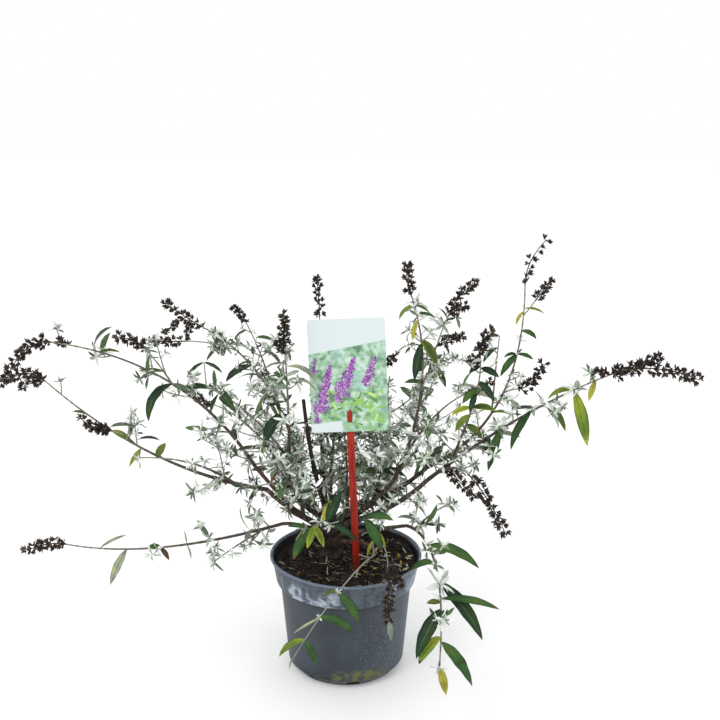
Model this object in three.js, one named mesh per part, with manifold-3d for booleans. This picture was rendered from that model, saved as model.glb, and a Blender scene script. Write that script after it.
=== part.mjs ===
// Butterfly bush in its three-litre nursery pot.
// Millimetres, +Z up. The origin is the centre of the pot's flat underside, and +X runs along
// the longest reach of the crown. The side that the plant label faces is -Y.
//
// A short trunk stands on the compost and carries one tapering bough for each mass of the
// crown. Each mass is a stem that carries on from its bough's tip, with side shoots, twigs,
// old leaves, tufts of young leaves and spent seed heads fused to it.

import * as THREE from "three";
import { mergeVertices } from "three/addons/utils/BufferGeometryUtils.js";
import Module from "manifold-3d";

const wasm = await Module();
wasm.setup();

// ---- Driving dimensions ---------------------------------------------------------------------

const GAP = 0.3; // clear space between neighbouring solids
const SOIL_GAP = 0.45; // round the compost, whose wall bends in at the dent

const POT = {
  height: 148,
  rimRadius: 95,
  rimDepth: 4,
  collarTopRadius: 92,
  collarFootRadius: 87,
  collarHeight: 33,
  shoulderRadius: 82,
  bodyFootRadius: 73,
  chamferHeight: 10,
  footRadius: 64,
  step: 1, // height over which the collar and the rim stand out
  wall: 1.6,
  base: 2,
  sides: 32,
  drains: 8,
  drainTurn: 8, // degrees that the first one is turned past the back
  drainWidth: 13,
  drainHeight: 3.6,
  drainDepth: 24,
  dent: 0.035, // how far the rim is pushed in, as a share of its radius
  dentBearing: 232, // degrees from +X
  dentSpread: 34, // degrees
};

const SOIL_TOP = 136;

const LABEL = {
  width: 90,
  height: 135,
  thickness: 0.8,
  corner: 3,
  slotWidth: 12,
  slotHeight: 18,
  slotFoot: 10, // height of the slot above the card's lower edge
  stickWidth: 9.5,
  stickThickness: 1.2,
  stickPoint: 8,
  stickBlunt: 1, // half width of the stick's ends
  stickTop: 7, // the stick's end above the middle of the slot
  buried: 58,
  soilPoint: [14, -24, SOIL_TOP],
  cardFoot: 189, // from the compost up to the card's lower edge
  lean: 5, // degrees that the stick leans to the front
  roll: 2.2, // degrees that stick and card lean to -X
  cardTilt: 8.2, // degrees between the card and the stick, which crosses the slot
};

const TRUNK = {
  foot: [-18, 20, SOIL_TOP + GAP],
  tip: [-25, 15, 190],
  bend: [2, 0, 0],
  flareRadius: 15,
  flareHeight: 0.22, // share of the trunk's length
  footRadius: 9.5,
  tipRadius: 7.5,
  sides: 12,
  steps: 8,
};

const BOUGH_SIDES = 6;
const BOUGH_STEPS = 3;
const TWIG_SIDES = 3;
const STEM_TIP_RADIUS = 1.05;
const SIDE_SHOOT_TIP_RADIUS = 0.95;
const SIDE_SHOOT_SHARE = 0.72; // radius of a side shoot against its stem's at the fork
const STEM_STEP = 42; // length of one straight piece of a stem
const FINEST = 0.03; // creases finer than this are smoothed away
const MERGE = 1e-4; // points nearer than this are one point
const SHORTEST = 0.12; // edges shorter than this are joined up
const FLATTEST = 0.02; // triangles lower than this over their longest edge are turned
const STEADY = 0.3; // least cosine between a triangle's old and new normal
const TIDY_PASSES = 12;
const FIRST_SEED = 36; // the first mass's row of chances, and the others follow

// The lengths and half widths are for the middle of each kind; `vary` is the share by which
// the rule makes one longer or shorter. Droop is the fall of the tip against the length.
const OLD_LEAF = {
  length: 72,
  halfWidth: 8,
  thickness: 1.3,
  belly: 0.42, // share of the length where the blade is widest
  droop: 0.55,
  vary: 0.2,
  forward: 0.5, // lean along the stem, against one across it
  lift: 0.25,
  sunk: 0.6, // share of the stem's radius that the root is sunk
};
const TUFT = { rays: 5, length: 25, notch: 2.8, half: 1.1, cup: 0.45, vary: 0.22, aside: 1.3 };
const TWIG = {
  radius: 0.95,
  tipRadius: 0.65,
  thinner: 0.8, // most that its radius may be of the stem's
  forward: 0.55,
  rise: 0.22,
  vary: 0.3,
  shortening: 0.55, // power by which twigs shorten along a stem
  forkClear: 0.12, // share of a twig that may lie in its own stem
};
const JOINT = { first: 13, lastClear: 9 };
const SEED_HEAD = { step: 14, wide: 6.8, narrow: 2.1, taper: 0.5, sides: 4 };

// How a stem is dressed: the step from joint to joint, how often a joint's side carries a
// twig or an old leaf, and how long a twig is. Each pair is for the stem's foot and its tip.
const DRESS = {
  heart: { step: 26, twig: [0.8, 0.7], oldLeaf: [0.1, 0.1], length: [64, 34] },
  plain: { step: 54, twig: [0.72, 0.4], oldLeaf: [0.1, 0.22], length: [66, 11] },
  leafy: { step: 38, twig: [0.4, 0.12], oldLeaf: [0.5, 0.8], length: [40, 11] },
  bare: { step: 62, twig: [0.5, 0.4], oldLeaf: [0, 0.6], length: [34, 10] },
};

// Each bough leaves the trunk, or another bough, at the share `at` of its length. `bend` is
// how far the middle of a curve stands off the straight line between its ends. The stem
// carries on from the bough's tip, and its side shoots leave it at their own share. `head`
// reaches from a stem's tip to the tip of the spent seed head that stands on it.
const BRANCHES = [
  {
    name: "centre",
    dress: "plain",
    bough: { on: "trunk", at: 0.97, tip: [-28, 12, 243], bend: [0, 0, 0], radii: [5.4, 4] },
    stem: { tip: [-35, 150, 413], bend: [0, 0, -14], head: [-4, 15, 52] },
    sides: [{ at: 0.3, tip: [18, 96, 372], bend: [4, 0, 0] }],
  },
  {
    name: "left_long",
    dress: "plain",
    bough: { on: "trunk", at: 0.7, tip: [-94, -25, 243], bend: [0, 3, -8], radii: [5, 3.2] },
    stem: { tip: [-365, 20, 367], bend: [-5, 2, -25], head: [-58, 10, -4] },
    sides: [
      { at: 0.14, tip: [-242, -40, 290], bend: [4, -1, 10] },
      { at: 0.58, tip: [-281, -8, 312], bend: [0, 0, 4], head: [-36, -10, 20] },
    ],
  },
  {
    name: "left_upper",
    dress: "plain",
    bough: { on: "bough_left_long", at: 0.55, tip: [-106, -28, 272], bend: [2, 2, -4], radii: [3.4, 2.6] },
    stem: { tip: [-322, -95, 447], bend: [18, 2, 28], head: [-48, -20, -39] },
    sides: [{ at: 0.5, tip: [-222, -76, 434], bend: [0, 0, 2], head: [-31, -12, 18] }],
  },
  {
    name: "left_upright",
    dress: "plain",
    bough: { on: "trunk", at: 0.93, tip: [-68, -12, 258], bend: [-8, 0, -6], radii: [3.8, 2.8] },
    stem: { tip: [-68, -50, 428], bend: [2, -6, 0], head: [0, -8, 43] },
    sides: [{ at: 0.12, tip: [-158, -58, 384], bend: [4, -4, 11] }],
  },
  {
    name: "left_back",
    dress: "plain",
    bough: { on: "trunk", at: 0.86, tip: [-60, 34, 262], bend: [-6, 4, -6], radii: [4, 2.8] },
    stem: { tip: [-182, 105, 412], bend: [15, 0, 18], head: [-51, 20, 28] },
    sides: [
      { at: 0.3, tip: [-130, 135, 410], bend: [0, 5, 6], head: [-18, 10, 19] },
      { at: 0.74, tip: [-200, 74, 402], bend: [2, 0, 3], head: [-47, 5, -3] },
    ],
  },
  {
    name: "left_low",
    dress: "bare",
    bough: { on: "trunk", at: 0.42, tip: [-77, -15, 194], bend: [0, 0, 6], radii: [3.6, 2.4] },
    stem: { tip: [-330, -65, 190], bend: [-14, -5, -15], head: [-51, -10, -6] },
    sides: [{ at: 0.06, tip: [-153, -84, 177], bend: [0, 0, 2] }],
  },
  {
    name: "heart_left",
    dress: "heart",
    bough: { on: "trunk", at: 0.62, tip: [-52, -16, 208], bend: [-2, -4, -2], radii: [3.6, 2.8] },
    stem: { tip: [-46, -34, 330], bend: [-4, 2, 0] },
    sides: [{ at: 0.2, tip: [-96, -60, 312], bend: [0, -6, 0] }],
  },
  {
    name: "heart_front",
    dress: "heart",
    bough: { on: "trunk", at: 0.8, tip: [2, -2, 208], bend: [2, 0, 2], radii: [3.8, 2.8] },
    stem: { tip: [-4, 18, 330], bend: [2, 2, 0] },
    sides: [{ at: 0.3, tip: [58, -26, 330], bend: [4, 0, -6] }],
  },
  {
    name: "heart_right",
    dress: "heart",
    bough: { on: "trunk", at: 0.68, tip: [34, 16, 208], bend: [2, 2, -2], radii: [3.6, 2.8] },
    stem: { tip: [52, 34, 352], bend: [6, 0, -4] },
    sides: [{ at: 0.35, tip: [18, 62, 320], bend: [0, 4, 0] }],
  },
  {
    name: "right_upright",
    dress: "plain",
    bough: { on: "trunk", at: 0.9, tip: [60, -8, 250], bend: [6, 0, -8], radii: [4.2, 3] },
    stem: { tip: [78, -12, 479], bend: [22, -4, 6], head: [-5, 2, 39] },
    sides: [
      { at: 0.33, tip: [130, 80, 438], bend: [-1, 5, 5], head: [34, 20, 36] },
      { at: 0.72, tip: [62, 12, 404], bend: [0, 2, 6], head: [-20, 5, -24] },
    ],
  },
  {
    name: "right_long",
    dress: "plain",
    bough: { on: "trunk", at: 0.78, tip: [100, -20, 254], bend: [4, -4, -10], radii: [4.6, 3] },
    stem: { tip: [299, -80, 405], bend: [3, 0, 13], head: [96, -20, 0] },
    sides: [
      { at: 0.12, tip: [154, -65, 421], bend: [10, -8, 16], head: [11, -7, 35] },
      { at: 0.06, tip: [144, -74, 282], bend: [2, -4, 8], head: [41, -35, -59] },
    ],
  },
  {
    name: "right_top",
    dress: "leafy",
    bough: { on: "trunk", at: 0.84, tip: [102, 30, 250], bend: [4, 4, -8], radii: [4.4, 2.8] },
    stem: { tip: [227, 110, 466], bend: [29, -15, -26], head: [27, 15, 56] },
    sides: [
      { at: 0.42, tip: [202, 150, 388], bend: [0, 0, 7] },
      { at: 0.52, tip: [212, 22, 356], bend: [-3, -2, 2], head: [26, -15, 36] },
      { at: 0.88, tip: [240, 102, 448], bend: [0, -1, 0], head: [21, 8, 24] },
    ],
  },
  {
    name: "front_right",
    dress: "leafy",
    bough: { on: "trunk", at: 0.5, tip: [74, -34, 200], bend: [4, 2, 0], radii: [3.6, 2.4] },
    stem: { tip: [106, -185, 99], bend: [14, -15, 42] },
    sides: [{ at: 0.1, tip: [126, -58, 240], bend: [0, 0, 4] }],
  },
  {
    name: "front",
    dress: "leafy",
    bough: { on: "trunk", at: 0.34, tip: [36, -46, 168], bend: [13, 8, 2], radii: [3.2, 2.2] },
    stem: { tip: [-56, -176, 105], bend: [6, -22, 30] },
    sides: [
      { at: 0.06, tip: [50, -122, 184], bend: [4, 2, 22], head: [2, -10, -60] },
      { at: 0.03, tip: [20, -92, 214], bend: [4, 4, 12] },
    ],
  },
  {
    name: "front_left",
    dress: "leafy",
    bough: { on: "trunk", at: 0.36, tip: [-42, -24, 180], bend: [-2, 0, 2], radii: [3, 2.2] },
    stem: { tip: [-56, -100, 212], bend: [4, 0, 14] },
    sides: [{ at: 0.3, tip: [-18, -80, 224], bend: [0, 0, 6] }],
  },
  {
    name: "back_left",
    dress: "plain",
    bough: { on: "trunk", at: 0.72, tip: [-76, 76, 222], bend: [-2, 4, -4], radii: [4, 2.8] },
    stem: { tip: [-188, 198, 278], bend: [2, 0, 16], head: [-36, 36, 12] },
    sides: [{ at: 0.3, tip: [-108, 226, 286], bend: [0, 4, 10], head: [-12, 40, 18] }],
  },
  {
    name: "back",
    dress: "plain",
    bough: { on: "trunk", at: 0.66, tip: [-20, 84, 224], bend: [0, 0, -2], radii: [4, 2.8] },
    stem: { tip: [-24, 236, 300], bend: [6, 0, 20], head: [-6, 56, 14] },
    sides: [{ at: 0.34, tip: [40, 204, 322], bend: [0, 4, 10] }],
  },
  {
    name: "back_right",
    dress: "plain",
    bough: { on: "trunk", at: 0.76, tip: [64, 74, 228], bend: [2, 4, -4], radii: [4, 2.8] },
    stem: { tip: [168, 214, 288], bend: [0, 0, 18], head: [38, 34, 8] },
    sides: [{ at: 0.3, tip: [98, 238, 280], bend: [0, 4, 10], head: [10, 42, 10] }],
  },
  {
    name: "back_low",
    dress: "leafy",
    bough: { on: "trunk", at: 0.32, tip: [36, 80, 180], bend: [2, 0, 6], radii: [3.2, 2.2] },
    stem: { tip: [70, 212, 148], bend: [2, 6, 26] },
    sides: [{ at: 0.24, tip: [-26, 196, 172], bend: [0, 6, 18] }],
  },
];

const DEAD_STUB = {
  on: "bough_centre",
  at: 0.2,
  tip: [-50, -2, 350],
  bend: [-2, -14, 0],
  radii: [2.8, 2.2],
};

// ---- Small tools ----------------------------------------------------------------------------

const UP = new THREE.Vector3(0, 0, 1);

/** A vector from a list of three numbers. */
function vector(list) {
  return new THREE.Vector3(...list);
}

/** A number from 0 to 1 that depends only on the seed and the index. */
function chance(seed, index) {
  const wave = Math.sin(seed * 12.9898 + index * 78.233) * 43758.5453;
  return wave - Math.floor(wave);
}

/** The curve from one point to another whose middle stands off the straight line by `bend`. */
function arc(start, tip, bend) {
  const control = start.clone().add(tip).multiplyScalar(0.5).addScaledVector(bend, 2);
  return new THREE.QuadraticBezierCurve3(start, control, tip);
}

/** A unit vector at right angles to the axis, turned round it by the angle. */
function around(axis, angle) {
  const reference = Math.abs(axis.z) < 0.9 ? UP : new THREE.Vector3(1, 0, 0);
  return new THREE.Vector3().crossVectors(axis, reference).normalize().applyAxisAngle(axis, angle);
}

/** A manifold solid from a closed three.js geometry. */
function solid(geometry) {
  const bare = geometry.clone();
  bare.deleteAttribute("normal");
  bare.deleteAttribute("uv");
  const merged = mergeVertices(bare, MERGE);
  const corners = merged.index.array;
  const triangles = [];
  for (let i = 0; i < corners.length; i += 3) {
    const [a, b, c] = [corners[i], corners[i + 1], corners[i + 2]];
    if (a !== b && b !== c && c !== a) triangles.push(a, b, c);
  }
  return new wasm.Manifold(
    new wasm.Mesh({
      numProp: 3,
      vertProperties: new Float32Array(merged.attributes.position.array),
      triVerts: new Uint32Array(triangles),
    }),
  );
}

/** A three.js geometry from a manifold solid. */
function geometryOf(body) {
  const { numProp, vertProperties, triVerts } = body.getMesh();
  const points = [];
  for (let i = 0; i < vertProperties.length; i += numProp) points.push(...vertProperties.slice(i, i + 3));
  const geometry = new THREE.BufferGeometry();
  geometry.setAttribute("position", new THREE.Float32BufferAttribute(points, 3));
  geometry.setIndex([...triVerts]);
  geometry.computeVertexNormals();
  return geometry;
}

/** The normal of a triangle, as long as twice its area. */
function triangleNormal([a, b, c]) {
  return new THREE.Vector3().crossVectors(b.clone().sub(a), c.clone().sub(a));
}

/** The length of the edge that leaves a triangle's corner k. */
function edgeLength(triangle, k) {
  return triangle[k].distanceTo(triangle[(k + 1) % 3]);
}

/** A solid's triangles while the slivers that a union leaves behind are taken out of them. */
class Skin {
  constructor(body) {
    const { numProp, vertProperties, triVerts } = body.getMesh();
    this.points = [];
    for (let i = 0; i < vertProperties.length; i += numProp) {
      this.points.push(new THREE.Vector3(...vertProperties.slice(i, i + 3)));
    }
    this.facesAt = this.points.map(() => new Set());
    this.faces = [];
    for (let i = 0; i < triVerts.length; i += 3) this.add([...triVerts.slice(i, i + 3)]);
  }

  add(corners) {
    const face = { corners, gone: false };
    this.faces.push(face);
    for (const corner of corners) this.facesAt[corner].add(face);
  }

  remove(face) {
    face.gone = true;
    for (const corner of face.corners) this.facesAt[corner].delete(face);
  }

  triangle(corners) {
    return corners.map((corner) => this.points[corner]);
  }

  neighbours(corner) {
    const all = new Set([...this.facesAt[corner]].flatMap((face) => face.corners));
    all.delete(corner);
    return all;
  }

  /** Whether a face would turn too far if its corners a and b both moved to one place. */
  wouldTurn(face, a, b, place) {
    const placeOf = (corner) => (corner === a || corner === b ? place : this.points[corner]);
    const before = triangleNormal(this.triangle(face.corners));
    const after = triangleNormal(face.corners.map(placeOf));
    const least = STEADY * before.length() * after.length();
    return before.length() > SHORTEST ** 2 && before.dot(after) < least;
  }

  /** Join two corners into one, if the skin stays closed and no face turns over. */
  join(a, b) {
    const others = this.neighbours(b);
    if ([...this.neighbours(a)].filter((corner) => others.has(corner)).length !== 2) return false;
    const between = [...this.facesAt[a]].filter((face) => face.corners.includes(b));
    const rest = [...this.facesAt[a], ...this.facesAt[b]].filter((face) => !between.includes(face));
    const [from, to] = this.triangle([a, b]);
    const places = [from.clone().lerp(to, 0.5), from.clone(), to.clone()];
    const place = places.find((choice) => !rest.some((face) => this.wouldTurn(face, a, b, choice)));
    if (!place) return false;
    for (const face of between) this.remove(face);
    from.copy(place);
    for (const face of [...this.facesAt[b]]) {
      this.remove(face);
      this.add(face.corners.map((corner) => (corner === b ? a : corner)));
    }
    return true;
  }

  /** The least height of a triangle, over its longest edge. */
  height(corners) {
    const triangle = this.triangle(corners);
    return triangleNormal(triangle).length() / Math.max(...[0, 1, 2].map((k) => edgeLength(triangle, k)));
  }

  /** Turn the longest edge of a flat triangle and its neighbour to the other diagonal. */
  turn(face) {
    if (this.height(face.corners) > FLATTEST) return false;
    const lengths = [0, 1, 2].map((k) => edgeLength(this.triangle(face.corners), k));
    const longest = lengths.indexOf(Math.max(...lengths));
    const [a, b, c] = [0, 1, 2].map((k) => face.corners[(longest + k) % 3]);
    const other = [...this.facesAt[a]].find((next) => next !== face && next.corners.includes(b));
    const d = other.corners.find((corner) => corner !== a && corner !== b);
    if (c === d || this.neighbours(c).has(d)) return false;
    const normal = triangleNormal(this.triangle(other.corners));
    const turned = [
      [a, d, c],
      [d, b, c],
    ];
    if (turned.some((corners) => triangleNormal(this.triangle(corners)).dot(normal) < 0)) return false;
    if (turned.some((corners) => this.height(corners) <= this.height(face.corners))) return false;
    this.remove(face);
    this.remove(other);
    for (const corners of turned) this.add(corners);
    return true;
  }

  /** Join the first short edge of a face, or turn its longest one. */
  mend(face) {
    for (const k of [0, 1, 2]) {
      const isShort = edgeLength(this.triangle(face.corners), k) < SHORTEST;
      if (isShort && this.join(face.corners[k], face.corners[(k + 1) % 3])) return true;
    }
    return this.turn(face);
  }

  /** Take out the slivers, pass by pass, until none is left that can be mended. */
  tidy() {
    for (let pass = 0; pass < TIDY_PASSES; pass += 1) {
      const mended = this.faces.slice().filter((face) => !face.gone && this.mend(face));
      this.faces = this.faces.filter((face) => !face.gone);
      if (mended.length === 0) break;
    }
  }

  /** The skin as a three.js geometry, with its largest triangles first. */
  geometry() {
    const size = (face) => triangleNormal(this.triangle(face.corners)).length();
    const sorted = this.faces.slice().sort((one, other) => size(other) - size(one));
    const places = this.points.flatMap((at) => at.toArray());
    const geometry = new THREE.BufferGeometry();
    geometry.setAttribute("position", new THREE.Float32BufferAttribute(places, 3));
    geometry.setIndex(sorted.flatMap((face) => face.corners));
    geometry.computeVertexNormals();
    return geometry;
  }
}

/** The largest piece of a solid, without the loose scraps. */
function mainPiece(body) {
  return body.decompose().reduce((best, piece) => (piece.volume() > best.volume() ? piece : best));
}

/** A named mesh with a finish of its own. */
function part(name, geometry, color, roughness) {
  const mesh = new THREE.Mesh(geometry, new THREE.MeshStandardMaterial({ color, roughness, metalness: 0 }));
  mesh.name = name;
  return mesh;
}

// ---- Limbs and stems ------------------------------------------------------------------------

/** A tapering branch: a curve with a radius at each share of its length. */
class Limb {
  constructor(curve, radiusAt, sides, steps, rootDirection = null) {
    this.curve = curve;
    this.radiusAt = radiusAt;
    this.sides = sides;
    this.steps = steps;
    this.rootDirection = rootDirection;
    this.length = curve.getLength();
  }

  /** A point on the limb's axis, which runs straight from ring to ring. */
  point(share) {
    const ring = Math.min(Math.floor(share * this.steps), this.steps - 1);
    const before = this.curve.getPoint(ring / this.steps);
    return before.lerp(this.curve.getPoint((ring + 1) / this.steps), share * this.steps - ring);
  }

  direction(share) {
    return this.curve.getTangent(share);
  }

  /** The closed tube, `grow` larger all over than the limb. */
  geometry(grow = 0) {
    const tube = new THREE.CylinderGeometry(1, 1, 1, this.sides, this.steps);
    const place = tube.attributes.position;
    for (let i = 0; i < place.count; i += 1) {
      const share = Math.round((place.getY(i) + 0.5) * this.steps) / this.steps;
      const isFoot = share === 0 && this.rootDirection;
      const along = isFoot ? this.rootDirection : this.direction(share);
      const across = around(along, 0);
      const beside = new THREE.Vector3().crossVectors(across, along);
      const radius = this.radiusAt(share) + grow;
      const reach = share === 0 ? -grow : share === 1 ? grow : 0;
      const at = this.point(share)
        .addScaledVector(across, place.getX(i) * radius)
        .addScaledVector(beside, place.getZ(i) * radius)
        .addScaledVector(along, reach);
      place.setXYZ(i, at.x, at.y, at.z);
    }
    return tube;
  }

  /** Balls along the limb that stand for it when others look for room. */
  balls(from = 0) {
    const count = Math.ceil(this.length / BALL_STEP);
    const list = [];
    for (let i = Math.ceil(from * count); i <= count; i += 1) {
      list.push({ at: this.point(i / count), radius: this.radiusAt(i / count) });
    }
    return list;
  }
}

/** A limb from one point to another with an even taper. */
function taperingLimb(start, spec, radii, sides, steps, rootDirection) {
  const curve = arc(start, vector(spec.tip), vector(spec.bend));
  const radiusAt = (share) => THREE.MathUtils.lerp(radii[0], radii[1], share);
  return new Limb(curve, radiusAt, sides, steps, rootDirection);
}

/** The trunk, whose foot flares out to a flat cut on the compost. */
function makeTrunk() {
  const curve = arc(vector(TRUNK.foot), vector(TRUNK.tip), vector(TRUNK.bend));
  const radiusAt = (share) => {
    const flare = Math.max(0, 1 - share / TRUNK.flareHeight) ** 2;
    const plain = THREE.MathUtils.lerp(TRUNK.footRadius, TRUNK.tipRadius, share);
    return plain + (TRUNK.flareRadius - TRUNK.footRadius) * flare;
  };
  return new Limb(curve, radiusAt, TRUNK.sides, TRUNK.steps, UP);
}

// ---- Room between the masses ----------------------------------------------------------------

const BALL_STEP = 3;
const BALL_MARGIN = 1.5; // covers the space between the balls, and the gap itself
const CELL = 24;

/** Who fills which part of space, as balls kept in a grid of cells. */
class Room {
  constructor() {
    this.cells = new Map();
    this.blocks = [];
  }

  static key(x, y, z) {
    return `${Math.floor(x / CELL)},${Math.floor(y / CELL)},${Math.floor(z / CELL)}`;
  }

  /** Fill space with an owner's balls. */
  claim(owner, balls, isLeaf = false) {
    for (const { at, radius } of balls) {
      const key = Room.key(at.x, at.y, at.z);
      if (!this.cells.has(key)) this.cells.set(key, []);
      this.cells.get(key).push({ owner, at, radius, isLeaf });
    }
  }

  /** Whether a ball keeps clear of every block, and of the balls that `minds` picks. */
  ballIsClear({ at, radius }, minds) {
    if (this.blocks.some((touches) => touches(at, radius + BALL_MARGIN))) return false;
    for (const dx of [-CELL, 0, CELL]) {
      for (const dy of [-CELL, 0, CELL]) {
        for (const dz of [-CELL, 0, CELL]) {
          for (const other of this.cells.get(Room.key(at.x + dx, at.y + dy, at.z + dz)) ?? []) {
            const limit = minds(other, radius);
            if (at.distanceToSquared(other.at) < limit * limit) return false;
          }
        }
      }
    }
    return true;
  }

  /** Whether a twig or leaf of this owner has room among what others own. */
  isClear(owner, balls, isLeaf = false) {
    const minds = (other, radius) => {
      if (other.owner !== owner) return radius + other.radius + BALL_MARGIN;
      return isLeaf && other.isLeaf ? radius + other.radius : 0;
    };
    return balls.every((ball) => this.ballIsClear(ball, minds));
  }
}

// ---- Leaves, tufts and seed heads -----------------------------------------------------------

/** An old leaf's blade: where its root, belly and tip are, and which way it is wide. */
class Leaf {
  constructor(root, direction, size) {
    this.length = OLD_LEAF.length * size;
    this.halfWidth = OLD_LEAF.halfWidth * size;
    this.root = root;
    const fall = OLD_LEAF.droop * this.length;
    this.belly = root.clone().addScaledVector(direction, OLD_LEAF.belly * this.length);
    this.belly.addScaledVector(UP, -fall * OLD_LEAF.belly ** 2);
    this.tip = root.clone().addScaledVector(direction, this.length * Math.sqrt(1 - OLD_LEAF.droop ** 2));
    this.tip.addScaledVector(UP, -fall);
    this.across = new THREE.Vector3().crossVectors(direction, UP).normalize();
    this.normal = new THREE.Vector3().crossVectors(this.across, direction).normalize();
  }

  /** The blade as an octahedron whose four middle corners stand round the belly. */
  geometry() {
    const blade = new THREE.OctahedronGeometry(1, 0);
    const place = blade.attributes.position;
    for (let i = 0; i < place.count; i += 1) {
      const along = place.getX(i);
      const at = along < -0.5 ? this.root.clone() : along > 0.5 ? this.tip.clone() : this.belly.clone();
      at.addScaledVector(this.normal, (place.getY(i) * OLD_LEAF.thickness) / 2);
      at.addScaledVector(this.across, place.getZ(i) * this.halfWidth);
      place.setXYZ(i, at.x, at.y, at.z);
    }
    return blade;
  }

  /** Balls from a quarter of the way out, where no other leaf may cross it. */
  balls() {
    const count = Math.ceil(this.length / BALL_STEP);
    const list = [];
    for (let i = Math.ceil(count / 4); i <= count; i += 1) {
      const share = i / count;
      const inner = share < OLD_LEAF.belly;
      const [from, to] = inner ? [this.root, this.belly] : [this.belly, this.tip];
      const leg = inner ? share / OLD_LEAF.belly : (share - OLD_LEAF.belly) / (1 - OLD_LEAF.belly);
      list.push({ at: from.clone().lerp(to, leg), radius: this.halfWidth * (inner ? leg : 1 - leg) });
    }
    return list;
  }
}

/** A tuft of young leaves: a cupped star round an axis, one pointed ray to a leaf. */
class Tuft {
  constructor(centre, axis, turn, lengths) {
    this.centre = centre;
    this.axis = axis;
    this.tips = lengths.map((length, i) => {
      const out = around(axis, turn + (i * 2 * Math.PI) / lengths.length);
      return out.multiplyScalar(length).addScaledVector(axis, length * TUFT.cup).add(centre);
    });
    this.notches = lengths.map((length, i) => {
      const out = around(axis, turn + ((i + 0.5) * 2 * Math.PI) / lengths.length);
      return out.multiplyScalar(TUFT.notch).addScaledVector(axis, TUFT.notch * TUFT.cup).add(centre);
    });
  }

  /** Two low cones base to base, whose shared rim goes out to each tip and back. */
  geometry() {
    const corners = this.tips.length * 2;
    const star = new THREE.SphereGeometry(1, corners, 2);
    const place = star.attributes.position;
    for (let i = 0; i < place.count; i += 1) {
      const height = place.getY(i);
      let at = this.centre.clone().addScaledVector(this.axis, height * TUFT.half);
      if (Math.abs(height) < 0.5) {
        const bearing = Math.atan2(-place.getZ(i), place.getX(i)) / (2 * Math.PI);
        const corner = (Math.round(bearing * corners) + corners) % corners;
        const rim = corner % 2 === 0 ? this.tips : this.notches;
        at = rim[Math.floor(corner / 2)];
      }
      place.setXYZ(i, at.x, at.y, at.z);
    }
    return star;
  }

  /** Balls along the rays, clear of the middle. */
  balls() {
    const list = [];
    for (const tip of this.tips) {
      const count = Math.ceil(this.centre.distanceTo(tip) / BALL_STEP);
      for (let i = 2; i <= count; i += 1) {
        const share = i / count;
        list.push({ at: this.centre.clone().lerp(tip, share), radius: TUFT.notch * (1 - share) });
      }
    }
    return list;
  }
}

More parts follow.
